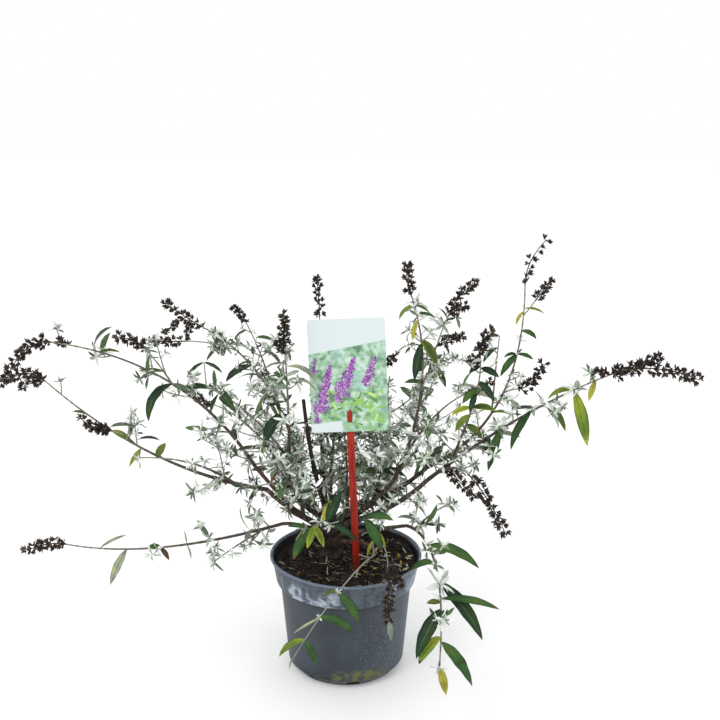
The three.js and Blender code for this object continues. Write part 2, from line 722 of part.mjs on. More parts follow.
/** One mass of the crown while it grows: its stems, and the solids fused to them. */
class Mass {
  constructor(name, seed, room) {
    this.name = name;
    this.seed = seed;
    this.draws = 0;
    this.room = room;
    this.stems = [];
    this.pieces = [];
  }

  /** The next number of this mass's own row of chances. */
  draw() {
    this.draws += 1;
    return chance(this.seed, this.draws);
  }

  /** A share from 1 - vary to 1 + vary. */
  drawSize(vary) {
    return 1 + (this.draw() * 2 - 1) * vary;
  }

  /** Add a stem that was placed by its named size. */
  addStem(limb, spec) {
    this.stems.push({ limb, spec });
    this.pieces.push(limb.geometry());
    this.room.claim(this.name, limb.balls());
  }

  /** Keep a leaf or tuft, unless something is in its way. */
  addFoliage(foliage) {
    const balls = foliage.balls();
    if (!this.room.isClear(this.name, balls, true)) return;
    this.room.claim(this.name, balls, true);
    this.pieces.push(foliage.geometry());
  }

  /** An old leaf that arches out and down. */
  addOldLeaf(limb, share, direction) {
    const root = limb.point(share).addScaledVector(direction, -OLD_LEAF.sunk * limb.radiusAt(share));
    this.addFoliage(new Leaf(root, direction, this.drawSize(OLD_LEAF.vary)));
  }

  /** A tuft of young leaves round a limb's tip, a little to one side of its middle. */
  addTuft(limb) {
    const axis = limb.direction(1);
    const turn = this.draw() * 2 * Math.PI;
    const lengths = [];
    for (let i = 0; i < TUFT.rays; i += 1) lengths.push(TUFT.length * this.drawSize(TUFT.vary));
    const centre = limb.point(1).addScaledVector(around(axis, turn), TUFT.aside);
    this.addFoliage(new Tuft(centre, axis, turn, lengths));
  }

  /** A straight twig with a tuft at its tip. */
  addTwig(limb, share, outward, length) {
    const start = limb.point(share);
    const tip = start.clone().addScaledVector(outward, length).addScaledVector(UP, length * TWIG.rise);
    const radius = Math.min(TWIG.radius, limb.radiusAt(share) * TWIG.thinner);
    const radiusAt = (part) => THREE.MathUtils.lerp(radius, TWIG.tipRadius, part);
    const twig = new Limb(new THREE.LineCurve3(start, tip), radiusAt, TWIG_SIDES, 1);
    const balls = twig.balls(TWIG.forkClear);
    if (!this.room.isClear(this.name, balls)) return;
    this.room.claim(this.name, balls);
    this.pieces.push(twig.geometry());
    this.addTuft(twig);
  }

  /** A spent seed head: a knobbly spike of dry capsules past the stem's tip. */
  addSeedHead(limb, reach) {
    const start = limb.point(1).addScaledVector(limb.direction(1), -1);
    const tip = start.clone().add(reach);
    const middle = start.clone().addScaledVector(limb.direction(1), reach.length() / 2);
    const whorls = Math.round(reach.length() / SEED_HEAD.step);
    const radiusAt = (share) => {
      const knob = Math.round(share * 2 * whorls) % 2 === 1;
      return (knob ? SEED_HEAD.wide : SEED_HEAD.narrow) * (1 - SEED_HEAD.taper * share);
    };
    const curve = new THREE.QuadraticBezierCurve3(start, middle, tip);
    const spike = new Limb(curve, radiusAt, SEED_HEAD.sides, 2 * whorls);
    this.pieces.push(spike.geometry());
    this.room.claim(this.name, spike.balls().map(({ at }) => ({ at, radius: SEED_HEAD.wide })));
  }

  /** Dress every stem, joint by joint, in the way its branch calls for. */
  dress(style) {
    for (const { limb, spec } of this.stems) {
      const count = Math.floor((limb.length - JOINT.first - JOINT.lastClear) / style.step) + 1;
      const turn = this.draw() * Math.PI;
      for (let joint = 0; joint < count; joint += 1) {
        const share = (JOINT.first + joint * style.step) / limb.length;
        this.dressJoint(limb, share, turn + (joint * Math.PI) / 2, style);
      }
      if (!spec.head) this.addTuft(limb);
    }
  }

  /** One joint: a twig, an old leaf or nothing on each of its two opposite sides. */
  dressJoint(limb, share, turn, style) {
    const along = limb.direction(share);
    const between = ([foot, tip], part) => THREE.MathUtils.lerp(foot, tip, part);
    const twigOften = between(style.twig, share);
    const leafOften = between(style.oldLeaf, share);
    for (const side of [0, Math.PI]) {
      const across = around(along, turn + side);
      const pick = this.draw();
      if (pick < twigOften) {
        const outward = across.addScaledVector(along, TWIG.forward).normalize();
        const length = between(style.length, share ** TWIG.shortening) * this.drawSize(TWIG.vary);
        this.addTwig(limb, share, outward, length);
      } else if (pick < twigOften + leafOften) {
        const outward = across.addScaledVector(along, OLD_LEAF.forward).addScaledVector(UP, OLD_LEAF.lift);
        this.addOldLeaf(limb, share, outward.normalize());
      }
    }
  }

  /** The whole mass as one closed solid, without creases finer than `FINEST`. */
  body() {
    const whole = wasm.Manifold.union(this.pieces.map(solid));
    return mainPiece(whole.asOriginal().simplify(FINEST));
  }

  /** The geometry of the whole mass, without slivers. */
  geometry() {
    const skin = new Skin(this.body());
    skin.tidy();
    return skin.geometry();
  }
}

// ---- Pot and compost ------------------------------------------------------------------------

/** Push a lathe's points in where the rim has lost its round shape. */
function dent(geometry) {
  const place = geometry.attributes.position;
  for (let i = 0; i < place.count; i += 1) {
    const bearing = THREE.MathUtils.radToDeg(Math.atan2(place.getY(i), place.getX(i)));
    const away = (((bearing - POT.dentBearing) % 360) + 540) % 360 - 180;
    const height = Math.max(0, place.getZ(i) / POT.height);
    const scale = 1 - POT.dent * height ** 3 * Math.exp(-((away / POT.dentSpread) ** 2));
    place.setXYZ(i, place.getX(i) * scale, place.getY(i) * scale, place.getZ(i));
  }
  return geometry;
}

/** A solid of revolution about Z from (radius, height) pairs. */
function turned(profile) {
  const points = profile.map(([radius, height]) => new THREE.Vector2(radius, height));
  return dent(new THREE.LatheGeometry(points, POT.sides).rotateX(Math.PI / 2));
}

/** The inside of the pot's wall, from its floor to the compost or the rim. */
function innerProfile(clear, top) {
  const shoulder = POT.height - POT.collarHeight;
  const inner = (radius) => radius - POT.wall - clear;
  const collarFoot = shoulder + POT.step + clear;
  const share = (top - collarFoot) / (POT.height - POT.rimDepth - collarFoot);
  const topRadius = THREE.MathUtils.lerp(POT.collarFootRadius, POT.collarTopRadius, share);
  return [
    [inner(POT.footRadius), POT.base + clear],
    [inner(POT.bodyFootRadius), POT.chamferHeight + clear],
    [inner(POT.shoulderRadius), shoulder + clear],
    [inner(POT.collarFootRadius), collarFoot],
    [inner(topRadius), top],
  ];
}

/** The pot: flat base, chamfered foot, tapering body, stepped collar and rolled rim. */
function makePot() {
  const shoulder = POT.height - POT.collarHeight;
  const rimFoot = POT.height - POT.rimDepth;
  const shell = solid(
    turned([
      [0, 0],
      [POT.footRadius, 0],
      [POT.bodyFootRadius, POT.chamferHeight],
      [POT.shoulderRadius, shoulder - POT.step],
      [POT.collarFootRadius, shoulder],
      [POT.collarTopRadius, rimFoot],
      [POT.rimRadius, rimFoot + POT.step],
      [POT.rimRadius, POT.height],
      ...innerProfile(0, POT.height).reverse(),
      [0, POT.base],
    ]),
  );
  const drain = new THREE.BoxGeometry(POT.drainWidth, POT.drainDepth, POT.drainHeight * 2);
  let pot = shell;
  for (let i = 0; i < POT.drains; i += 1) {
    const turn = THREE.MathUtils.degToRad(POT.drainTurn) + (i * 2 * Math.PI) / POT.drains;
    const cut = drain.clone().translate(0, POT.bodyFootRadius, 0).rotateZ(turn);
    pot = pot.subtract(solid(cut));
  }
  return pot;
}

/** The compost, level with the trunk's foot, with a slot for the label's stick. */
function makeSoil(stickSlot) {
  const side = innerProfile(SOIL_GAP, SOIL_TOP);
  const fill = turned([[0, POT.base + SOIL_GAP], ...side, [0, SOIL_TOP]]);
  return solid(fill).subtract(stickSlot);
}

/** Whether a ball comes too near the pot's rim, its wall or the compost. */
function touchesPot(at, radius) {
  const out = Math.hypot(at.x, at.y);
  if (out > POT.rimRadius + radius) return false;
  if (out > POT.collarFootRadius - radius) return at.z < POT.height + radius;
  return at.z < SOIL_TOP + radius;
}

// ---- Plant label ----------------------------------------------------------------------------

/** The outline of a stick with a point at each end. */
function stickShape(clear) {
  const half = LABEL.stickWidth / 2 + clear;
  const top = LABEL.cardFoot + LABEL.slotFoot + LABEL.slotHeight / 2 + LABEL.stickTop;
  const foot = -LABEL.buried - clear;
  const shape = new THREE.Shape();
  const blunt = LABEL.stickBlunt + clear;
  shape.moveTo(-blunt, foot);
  shape.lineTo(blunt, foot);
  shape.lineTo(half, foot + 2 * LABEL.stickPoint);
  shape.lineTo(half, top - LABEL.stickPoint);
  shape.lineTo(blunt, top);
  shape.lineTo(-blunt, top);
  shape.lineTo(-half, top - LABEL.stickPoint);
  shape.lineTo(-half, foot + 2 * LABEL.stickPoint);
  return shape;
}

/** The outline of the card with its slot. */
function cardShape() {
  const { width, height, corner } = LABEL;
  const foot = -(LABEL.slotFoot + LABEL.slotHeight / 2);
  const shape = new THREE.Shape();
  shape.moveTo(-width / 2 + corner, foot);
  shape.lineTo(width / 2 - corner, foot);
  shape.quadraticCurveTo(width / 2, foot, width / 2, foot + corner);
  shape.lineTo(width / 2, foot + height - corner);
  shape.quadraticCurveTo(width / 2, foot + height, width / 2 - corner, foot + height);
  shape.lineTo(-width / 2 + corner, foot + height);
  shape.quadraticCurveTo(-width / 2, foot + height, -width / 2, foot + height - corner);
  shape.lineTo(-width / 2, foot + corner);
  shape.quadraticCurveTo(-width / 2, foot, -width / 2 + corner, foot);
  const slot = new THREE.Path();
  slot.moveTo(-LABEL.slotWidth / 2, -LABEL.slotHeight / 2);
  slot.lineTo(-LABEL.slotWidth / 2, LABEL.slotHeight / 2);
  slot.lineTo(LABEL.slotWidth / 2, LABEL.slotHeight / 2);
  slot.lineTo(LABEL.slotWidth / 2, -LABEL.slotHeight / 2);
  slot.closePath();
  shape.holes.push(slot);
  return shape;
}

/** An upright sheet in the XZ plane, `thickness` deep about its middle plane. */
function uprightSheet(shape, thickness) {
  const settings = { depth: thickness, bevelEnabled: false, curveSegments: 3 };
  const sheet = new THREE.ExtrudeGeometry(shape, settings);
  return sheet.translate(0, 0, -thickness / 2).rotateX(Math.PI / 2);
}

/** Where the stick stands: local Z runs up the stick. */
function stickFrame() {
  const frame = new THREE.Group();
  frame.position.set(...LABEL.soilPoint);
  frame.rotation.set(THREE.MathUtils.degToRad(LABEL.lean), THREE.MathUtils.degToRad(-LABEL.roll), 0);
  frame.updateMatrixWorld(true);
  return frame;
}

/** Whether a ball comes too near a flat box that stands in a placed frame. */
function touchesBox(frame, centre, half) {
  const inverse = frame.matrixWorld.clone().invert();
  return (at, radius) => {
    const local = at.clone().applyMatrix4(inverse).sub(centre);
    const over = [
      Math.abs(local.x) - half.x,
      Math.abs(local.y) - half.y,
      Math.abs(local.z) - half.z,
    ].map((excess) => Math.max(0, excess));
    return Math.hypot(...over) < radius;
  };
}

/** The label: a card hung by its slot on a flat pointed stick. */
function makeLabel(room) {
  const frame = stickFrame();
  const stick = uprightSheet(stickShape(0), LABEL.stickThickness);
  frame.add(part("label_stick", stick, 0xb3261b, 0.45));
  const hanger = new THREE.Group();
  const crossing = LABEL.cardFoot + LABEL.slotFoot + LABEL.slotHeight / 2;
  hanger.position.set(0, 0, crossing);
  hanger.rotation.x = THREE.MathUtils.degToRad(-LABEL.cardTilt);
  const card = uprightSheet(cardShape(), LABEL.thickness);
  hanger.add(part("label_card", card, 0xdfe5da, 0.35));
  frame.add(hanger);
  frame.updateMatrixWorld(true);

  const cardMiddle = LABEL.height / 2 - LABEL.slotFoot - LABEL.slotHeight / 2;
  const cardHalf = new THREE.Vector3(LABEL.width / 2, LABEL.thickness / 2, LABEL.height / 2);
  room.blocks.push(touchesBox(hanger, new THREE.Vector3(0, 0, cardMiddle), cardHalf));
  const stickHalf = new THREE.Vector3(LABEL.stickWidth / 2, LABEL.stickThickness / 2, crossing / 2);
  room.blocks.push(touchesBox(frame, new THREE.Vector3(0, 0, crossing / 2), stickHalf));

  const slot = uprightSheet(stickShape(GAP), LABEL.stickThickness + 2 * GAP);
  return { frame, stickSlot: solid(slot.applyMatrix4(frame.matrixWorld)) };
}

// ---- The whole plant ------------------------------------------------------------------------

/** The trunk, the boughs and the dead stub, each cut clear of the limbs before it. */
function growLimbs(room) {
  const limbs = new Map([["trunk", makeTrunk()]]);
  const specs = BRANCHES.map(({ name, bough }) => [`bough_${name}`, bough]);
  specs.push(["dead_stub", DEAD_STUB]);
  const parts = [["trunk", solid(limbs.get("trunk").geometry())]];
  for (const [name, spec] of specs) {
    const parent = limbs.get(spec.on);
    const limb = taperingLimb(parent.point(spec.at), spec, spec.radii, BOUGH_SIDES, BOUGH_STEPS);
    let body = solid(limb.geometry());
    for (const other of limbs.values()) body = body.subtract(solid(other.geometry(GAP)));
    limbs.set(name, limb);
    parts.push([name, mainPiece(body)]);
  }
  for (const [name, limb] of limbs) room.claim(name, limb.balls());
  return { limbs, parts };
}

/** The stem and side shoots of one mass, carrying on from its bough's tip. */
function growStems(mass, branch, bough) {
  const direction = bough.direction(1);
  const foot = bough.point(1).addScaledVector(direction, GAP);
  const footRadius = bough.radiusAt(1);
  const stemSpan = foot.distanceTo(vector(branch.stem.tip));
  const stemRadii = [footRadius, STEM_TIP_RADIUS];
  const stemSteps = Math.ceil(stemSpan / STEM_STEP);
  const stem = taperingLimb(foot, branch.stem, stemRadii, TWIG_SIDES, stemSteps, direction);
  mass.addStem(stem, branch.stem);
  for (const side of branch.sides) {
    const start = stem.point(side.at);
    const radii = [stem.radiusAt(side.at) * SIDE_SHOOT_SHARE, SIDE_SHOOT_TIP_RADIUS];
    const steps = Math.ceil(start.distanceTo(vector(side.tip)) / STEM_STEP);
    mass.addStem(taperingLimb(start, side, radii, TWIG_SIDES, steps, null), side);
  }
}

/** Every mass, grown in step so that each keeps to its own room. */
function growMasses(limbs, room) {
  const masses = BRANCHES.map((branch, i) => new Mass(`mass_${branch.name}`, FIRST_SEED + i, room));
  masses.forEach((mass, i) => growStems(mass, BRANCHES[i], limbs.get(`bough_${BRANCHES[i].name}`)));
  for (const mass of masses) {
    for (const { limb, spec } of mass.stems) {
      if (spec.head) mass.addSeedHead(limb, vector(spec.head));
    }
  }
  masses.forEach((mass, i) => mass.dress(DRESS[BRANCHES[i].dress]));
  return masses;
}

const room = new Room();
room.blocks.push(touchesPot);
const { frame: label, stickSlot } = makeLabel(room);
const { limbs, parts: limbParts } = growLimbs(room);
const masses = growMasses(limbs, room);

const group = new THREE.Group();
group.add(part("pot", geometryOf(makePot()), 0x4d535b, 0.55));
group.add(part("soil", geometryOf(makeSoil(stickSlot)), 0x1d1712, 0.95));
for (const [name, body] of limbParts) group.add(part(name, geometryOf(body), 0x5a4535, 0.85));
for (const mass of masses) group.add(part(mass.name, mass.geometry(), 0x8f9c7c, 0.8));
group.add(label);

export default group;
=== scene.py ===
"""A butterfly bush in its nursery pot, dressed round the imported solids.

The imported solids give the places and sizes, in metres with +Z up. The crown is grown here by
the rule that shaped the solids: a stem carries on from each bough's tip, with side shoots,
twigs, old leaves, tufts and spent seed heads at the same places. Each is then carried on to
finer shoots, leaves and capsules within the same reach. Lengths in the classes are in
millimetres, and `MM` turns them to metres where a mesh is made.
"""

import logging
import math
from dataclasses import dataclass, fields
from enum import Enum, IntEnum
from itertools import product

import bpy
import numpy as np
from bpy.types import Material, NodeSocket, Object
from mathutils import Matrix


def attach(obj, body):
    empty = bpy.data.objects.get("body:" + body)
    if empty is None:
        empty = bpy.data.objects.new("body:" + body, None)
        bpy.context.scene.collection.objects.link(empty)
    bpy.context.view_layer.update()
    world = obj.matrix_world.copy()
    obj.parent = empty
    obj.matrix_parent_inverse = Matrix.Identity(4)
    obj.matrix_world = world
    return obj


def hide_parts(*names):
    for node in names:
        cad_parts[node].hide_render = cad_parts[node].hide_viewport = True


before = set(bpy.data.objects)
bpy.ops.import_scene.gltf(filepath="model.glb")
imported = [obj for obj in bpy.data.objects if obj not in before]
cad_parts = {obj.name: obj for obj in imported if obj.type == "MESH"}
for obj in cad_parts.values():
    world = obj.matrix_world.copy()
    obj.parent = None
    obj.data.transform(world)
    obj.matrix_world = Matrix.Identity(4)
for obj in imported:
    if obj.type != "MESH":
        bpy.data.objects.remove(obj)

Array = np.ndarray
Pair = tuple[float, float]
Triple = tuple[float, float, float]
Colour = Triple
MM = 0.001
UP = np.array([0.0, 0.0, 1.0])
QUARTER = math.pi / 2
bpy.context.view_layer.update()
LOG = logging.getLogger("bush")


# ---- Small maths -----------------------------------------------------------------------------


def unit(vectors: Array) -> Array:
    """Vectors at length one: each divided by its own length."""
    return vectors / np.linalg.norm(vectors, axis=-1, keepdims=True)


def blend(low: float, high: float, share: Array) -> Array:
    """The value that lies the share of the way from low to high."""
    return low + (high - low) * share


def eased(low: float, high: float, value: Array) -> Array:
    """From 0 below low to 1 above high, by the cubic 3x^2 - 2x^3 between them."""
    part = np.clip((value - low) / (high - low), 0, 1)
    return part * part * (3 - 2 * part)


def circle(count: int) -> Array:
    """Angles that go evenly once round, from 0."""
    return np.arange(count) * 2 * math.pi / count


def bell(places: Array, middle: Array, spread: float) -> Array:
    """A round swelling of height one: exp of minus the squared distance over the spread."""
    return np.exp(-(((places - middle) ** 2).sum(axis=-1) / spread))


def around(axis: Array, angle: float) -> Array:
    """A unit vector at right angles to the axis, turned round it by the angle.

    The start is the axis crossed with up, or with +X where the axis stands nearly upright, and
    the turn is start times cosine plus (axis cross start) times sine.

    Args:
        axis: a unit vector.
        angle: the turn in radians, by the right-hand rule.

    Returns:
        The turned vector.
    """
    reference = UP if abs(axis[2]) < 0.9 else np.array([1.0, 0.0, 0.0])
    start = unit(np.cross(axis, reference))
    return start * math.cos(angle) + np.cross(axis, start) * math.sin(angle)


def lattice(cells: Array, seed: float) -> Array:
    """A number from 0 to 1 for each whole-numbered cell: the fraction of a tall sine of the cell."""
    wave = np.sin(cells @ np.array([12.9898, 78.233, 37.719]) + seed * 4.581) * 43758.5453
    return wave - np.floor(wave)


def soft_noise(points: Array, seed: float) -> Array:
    """Value noise from -1 to 1: the numbers of a cell's eight corners, eased and blended.

    Args:
        points: the places, as (..., 3).
        seed: which noise.

    Returns:
        A value for each place.
    """
    cell = np.floor(points)
    part = points - cell
    ease = part * part * (3 - 2 * part)
    total = np.zeros(points.shape[:-1])
    for corner in product((0, 1), repeat=3):
        weight = np.prod(np.where(np.array(corner) == 1, ease, 1 - ease), axis=-1)
        total = total + weight * lattice(cell + np.array(corner), seed)
    return 2 * total - 1


def layered_noise(points: Array, seed: float, layers: int = 3) -> Array:
    """Soft noise summed over layers, each twice as fine and half as strong as the last."""
    return sum(soft_noise(points * 2**k, seed + k) / 2**k for k in range(layers))


def turn_x(degrees: float) -> Array:
    """The matrix that turns about X."""
    c, s = math.cos(math.radians(degrees)), math.sin(math.radians(degrees))
    return np.array([[1, 0, 0], [0, c, -s], [0, s, c]])


def turn_y(degrees: float) -> Array:
    """The matrix that turns about Y."""
    c, s = math.cos(math.radians(degrees)), math.sin(math.radians(degrees))
    return np.array([[c, 0, s], [0, 1, 0], [-s, 0, c]])


# ---- Meshes ----------------------------------------------------------------------------------


def link(name: str, data: bpy.types.ID) -> Object:
    """A new object that shows the data, linked to the scene.

    Args:
        name: the object's name.
        data: its mesh, curve, light or camera.

    Returns:
        The object.
    """
    made = bpy.data.objects.new(name, data)
    bpy.context.scene.collection.objects.link(made)
    return made


@dataclass(frozen=True)
class Weave:
    """Which points make which faces, and the zone of the shape that each face lies in."""

    quads: Array
    tris: Array
    quad_zones: Array
    tri_zones: Array


def ring_weave(rings: int, sides: int) -> Weave:
    """The faces of a closed skin of rings, with a pole point past each end.

    Points run ring by ring, then the first pole and the last. A face's zone is the number of
    the ring that it starts from. The faces point outwards where the sides turn by the
    right-hand rule about the way that the rings follow each other.

    Args:
        rings: how many rings there are.
        sides: how many points a ring has.

    Returns:
        The faces.
    """
    ring, side = np.meshgrid(np.arange(rings - 1), np.arange(sides), indexing="ij")
    after = (side + 1) % sides
    quads = np.stack(
        [ring * sides + side, ring * sides + after, (ring + 1) * sides + after, (ring + 1) * sides + side],
        axis=-1,
    ).reshape(-1, 4)
    turn = np.arange(sides)
    follow = (turn + 1) % sides
    first = np.stack([np.full(sides, rings * sides), follow, turn], axis=-1)
    top = (rings - 1) * sides
    last = np.stack([np.full(sides, rings * sides + 1), top + turn, top + follow], axis=-1)
    zones = np.concatenate([np.zeros(sides, int), np.full(sides, rings - 1)])
    return Weave(quads, np.concatenate([first, last]), ring.ravel(), zones)


class Joined:
    """Many small shapes of one kind, gathered and made into one piece."""

    def __init__(self) -> None:
        """Start with nothing gathered."""
        self.points: list[Array] = []
        self.corners: list[Array] = []
        self.sizes: list[Array] = []
        self.slots: list[Array] = []
        self.count = 0
        self.triangles = 0

    def add(self, points: Array, weave: Weave, slots: Array | int = 0) -> None:
        """Gather copies of one weave.

        Args:
            points: the copies' points in millimetres, as (copies, points, 3).
            weave: the faces that each copy has.
            slots: the material slot of each copy's zones, as (copies, zones), or one slot.
        """
        copies, each = points.shape[:2]
        first = self.count + each * np.arange(copies)[:, None, None]
        for faces, zones in ((weave.quads, weave.quad_zones), (weave.tris, weave.tri_zones)):
            if len(faces) == 0:
                continue
            self.corners.append((faces[None] + first).ravel())
            self.sizes.append(np.full(copies * len(faces), faces.shape[1]))
            table = np.broadcast_to(slots, (copies, zones.max() + 1)) if np.isscalar(slots) else slots
            self.slots.append(table[:, zones].ravel())
            self.triangles += copies * len(faces) * (faces.shape[1] - 2)
        self.points.append(points.reshape(-1, 3))
        self.count += copies * each

    def build(self, name: str, materials: list[Material], smooth: bool = True) -> Object:
        """Make the piece, in metres.

        Args:
            name: the piece's name.
            materials: the finish of each slot.
            smooth: whether the faces are shaded smooth.

        Returns:
            The new object, linked to the scene, at the origin.
        """
        points = np.concatenate(self.points) * MM
        corners = np.concatenate(self.corners)
        sizes = np.concatenate(self.sizes)
        mesh = bpy.data.meshes.new(name)
        mesh.vertices.add(len(points))
        mesh.vertices.foreach_set("co", points.astype(np.float32).ravel())
        mesh.loops.add(len(corners))
        mesh.loops.foreach_set("vertex_index", corners.astype(np.int32))
        mesh.polygons.add(len(sizes))
        starts = np.concatenate([[0], np.cumsum(sizes)[:-1]])
        mesh.polygons.foreach_set("loop_start", starts.astype(np.int32))
        mesh.polygons.foreach_set("material_index", np.concatenate(self.slots).astype(np.int32))
        mesh.polygons.foreach_set("use_smooth", np.full(len(sizes), smooth))
        mesh.update(calc_edges=True)
        for material in materials:
            mesh.materials.append(material)
        return link(name, mesh)


def settle(piece: Object, slot: str, *nodes: str) -> None:
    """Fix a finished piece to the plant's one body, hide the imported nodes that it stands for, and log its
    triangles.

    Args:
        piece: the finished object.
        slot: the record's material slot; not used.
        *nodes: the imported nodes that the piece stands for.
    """
    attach(piece, "root")
    if nodes:
        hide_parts(*nodes)
    faces = sum(len(face.vertices) - 2 for face in piece.data.polygons)
    LOG.info("%s: %d triangles", piece.name, faces)


def sweep(paths: Array, radii: Array, sides: int, noses: float = 0.4) -> Array:
    """Rings of points along paths, with a pole past each end.

    A ring's point is its path point plus radius times (across cos angle + beside sin angle).
    Across is a fixed vector of the path, made square to the path's heading at each ring, and
    beside is the heading crossed with across.

    Args:
        paths: (copies, rings, 3) in millimetres.
        radii: (copies, rings), or (copies, rings, sides) where the skin has relief.
        sides: how many points a ring has.
        noses: how far the poles stand past the ends, as a share of the end's radius.

    Returns:
        The points as (copies, rings * sides + 2, 3), in the order that `ring_weave` takes.
    """
    copies, rings = paths.shape[:2]
    heading = unit(np.gradient(paths, axis=1))
    chord = unit(paths[:, -1] - paths[:, 0])
    least = np.eye(3)[np.argmin(np.abs(chord), axis=1)]
    fixed = unit(np.cross(chord, least))[:, None, :]
    across = unit(fixed - np.sum(fixed * heading, axis=-1, keepdims=True) * heading)
    beside = np.cross(heading, across)
    angle = circle(sides)
    spread = radii[..., None] if radii.ndim == 2 else radii
    ring = across[:, :, None, :] * np.cos(angle)[:, None] + beside[:, :, None, :] * np.sin(angle)[:, None]
    skin = paths[:, :, None, :] + ring * spread[..., None]
    ends = spread.mean(axis=-1)[:, [0, -1], None] * noses
    poles = paths[:, [0, -1]] + heading[:, [0, -1]] * ends * np.array([[-1.0], [1.0]])
    return np.concatenate([skin.reshape(copies, rings * sides, 3), poles], axis=1)


class Zone(IntEnum):
    """The parts of a leaf's blade that can have a tone of their own."""

    FACE = 0
    RIB = 1
    UNDER = 2
    TIP = 3
    EDGE = 4


class Blade:
    """A leaf's blade as shares along it and across it, single or with an underside.

    The half width at a share u is the greatest half width times u^a (1 - u)^b, brought to 1 at
    its peak, where u = a / (a + b).
    """

    TIP_FROM = 0.91
    EDGE_FROM = 0.7
    RIB_WITHIN = 0.2

    def __init__(self, rows: int, across: tuple[float, ...], rise: float, fall: float, backed: bool) -> None:
        """Lay out the grid.

        Args:
            rows: how many rows of faces the blade has from root to tip.
            across: where the lines along the blade lie, from -1 at one edge to 1 at the other.
            rise: the power a of the half width.
            fall: the power b of the half width.
            backed: whether the blade has an underside with its own faces.
        """
        self.rise, self.fall = rise, fall
        lines = np.array(across)
        inner = np.linspace(0, 1, rows + 1)[1:-1]
        u, v = np.meshgrid(inner, lines, indexing="ij")
        count, wide = u.shape
        top = 1 + np.arange(count * wide).reshape(count, wide)
        tip = 1 + count * wide
        self.u = np.concatenate([[0.0], u.ravel(), [1.0]])
        self.v = np.concatenate([[0.0], v.ravel(), [0.0]])
        self.under = np.zeros(tip + 1)
        middle = (lines[1:] + lines[:-1]) / 2
        cells = (inner[1:] + inner[:-1]) / 2
        zones = np.where(np.abs(middle) > self.EDGE_FROM, Zone.EDGE, Zone.FACE)
        zones = np.where(np.abs(middle) < self.RIB_WITHIN, Zone.RIB, zones)
        zone_grid = np.where(cells[:, None] > self.TIP_FROM, Zone.TIP, zones[None, :])
        quads, tris = self.faces(top, tip)
        quad_zones = zone_grid.ravel()
        tri_zones = np.concatenate([zones, np.full(wide - 1, Zone.TIP)])
        if backed:
            low = top.copy()
            low[:, 1:-1] = tip + 1 + np.arange(count * (wide - 2)).reshape(count, wide - 2)
            self.u = np.concatenate([self.u, u[:, 1:-1].ravel()])
            self.v = np.concatenate([self.v, v[:, 1:-1].ravel()])
            self.under = np.concatenate([self.under, np.ones(count * (wide - 2))])
            under_quads, under_tris = self.faces(low, tip)
            quads = np.concatenate([quads, under_quads[:, ::-1]])
            tris = np.concatenate([tris, under_tris[:, ::-1]])
            quad_zones = np.concatenate([quad_zones, np.full(len(under_quads), Zone.UNDER)])
            tri_zones = np.concatenate([tri_zones, np.full(len(under_tris), Zone.UNDER)])
        self.weave = Weave(quads, tris, quad_zones, tri_zones)

    @staticmethod
    def faces(grid: Array, tip: int) -> tuple[Array, Array]:
        """The four-sided faces of a grid of points, and the three-sided ones at root and tip.

        Args:
            grid: the numbers of the blade's points.
            tip: the number of the tip's point.

        Returns:
            The faces of both kinds.
        """
        quads = np.stack([grid[:-1, :-1], grid[1:, :-1], grid[1:, 1:], grid[:-1, 1:]], axis=-1)
        root_row = np.stack([np.zeros(grid.shape[1] - 1, int), grid[0, :-1], grid[0, 1:]], axis=-1)
        tip_row = np.stack([grid[-1, :-1], np.full(grid.shape[1] - 1, tip), grid[-1, 1:]], axis=-1)
        return quads.reshape(-1, 4), np.concatenate([root_row, tip_row])

    def width(self) -> Array:
        """The half width at each point, as a share of the greatest.

        Returns:
            The shares.
        """
        peak = self.rise / (self.rise + self.fall)
        greatest = peak**self.rise * (1 - peak) ** self.fall
        return self.u**self.rise * (1 - self.u) ** self.fall / greatest


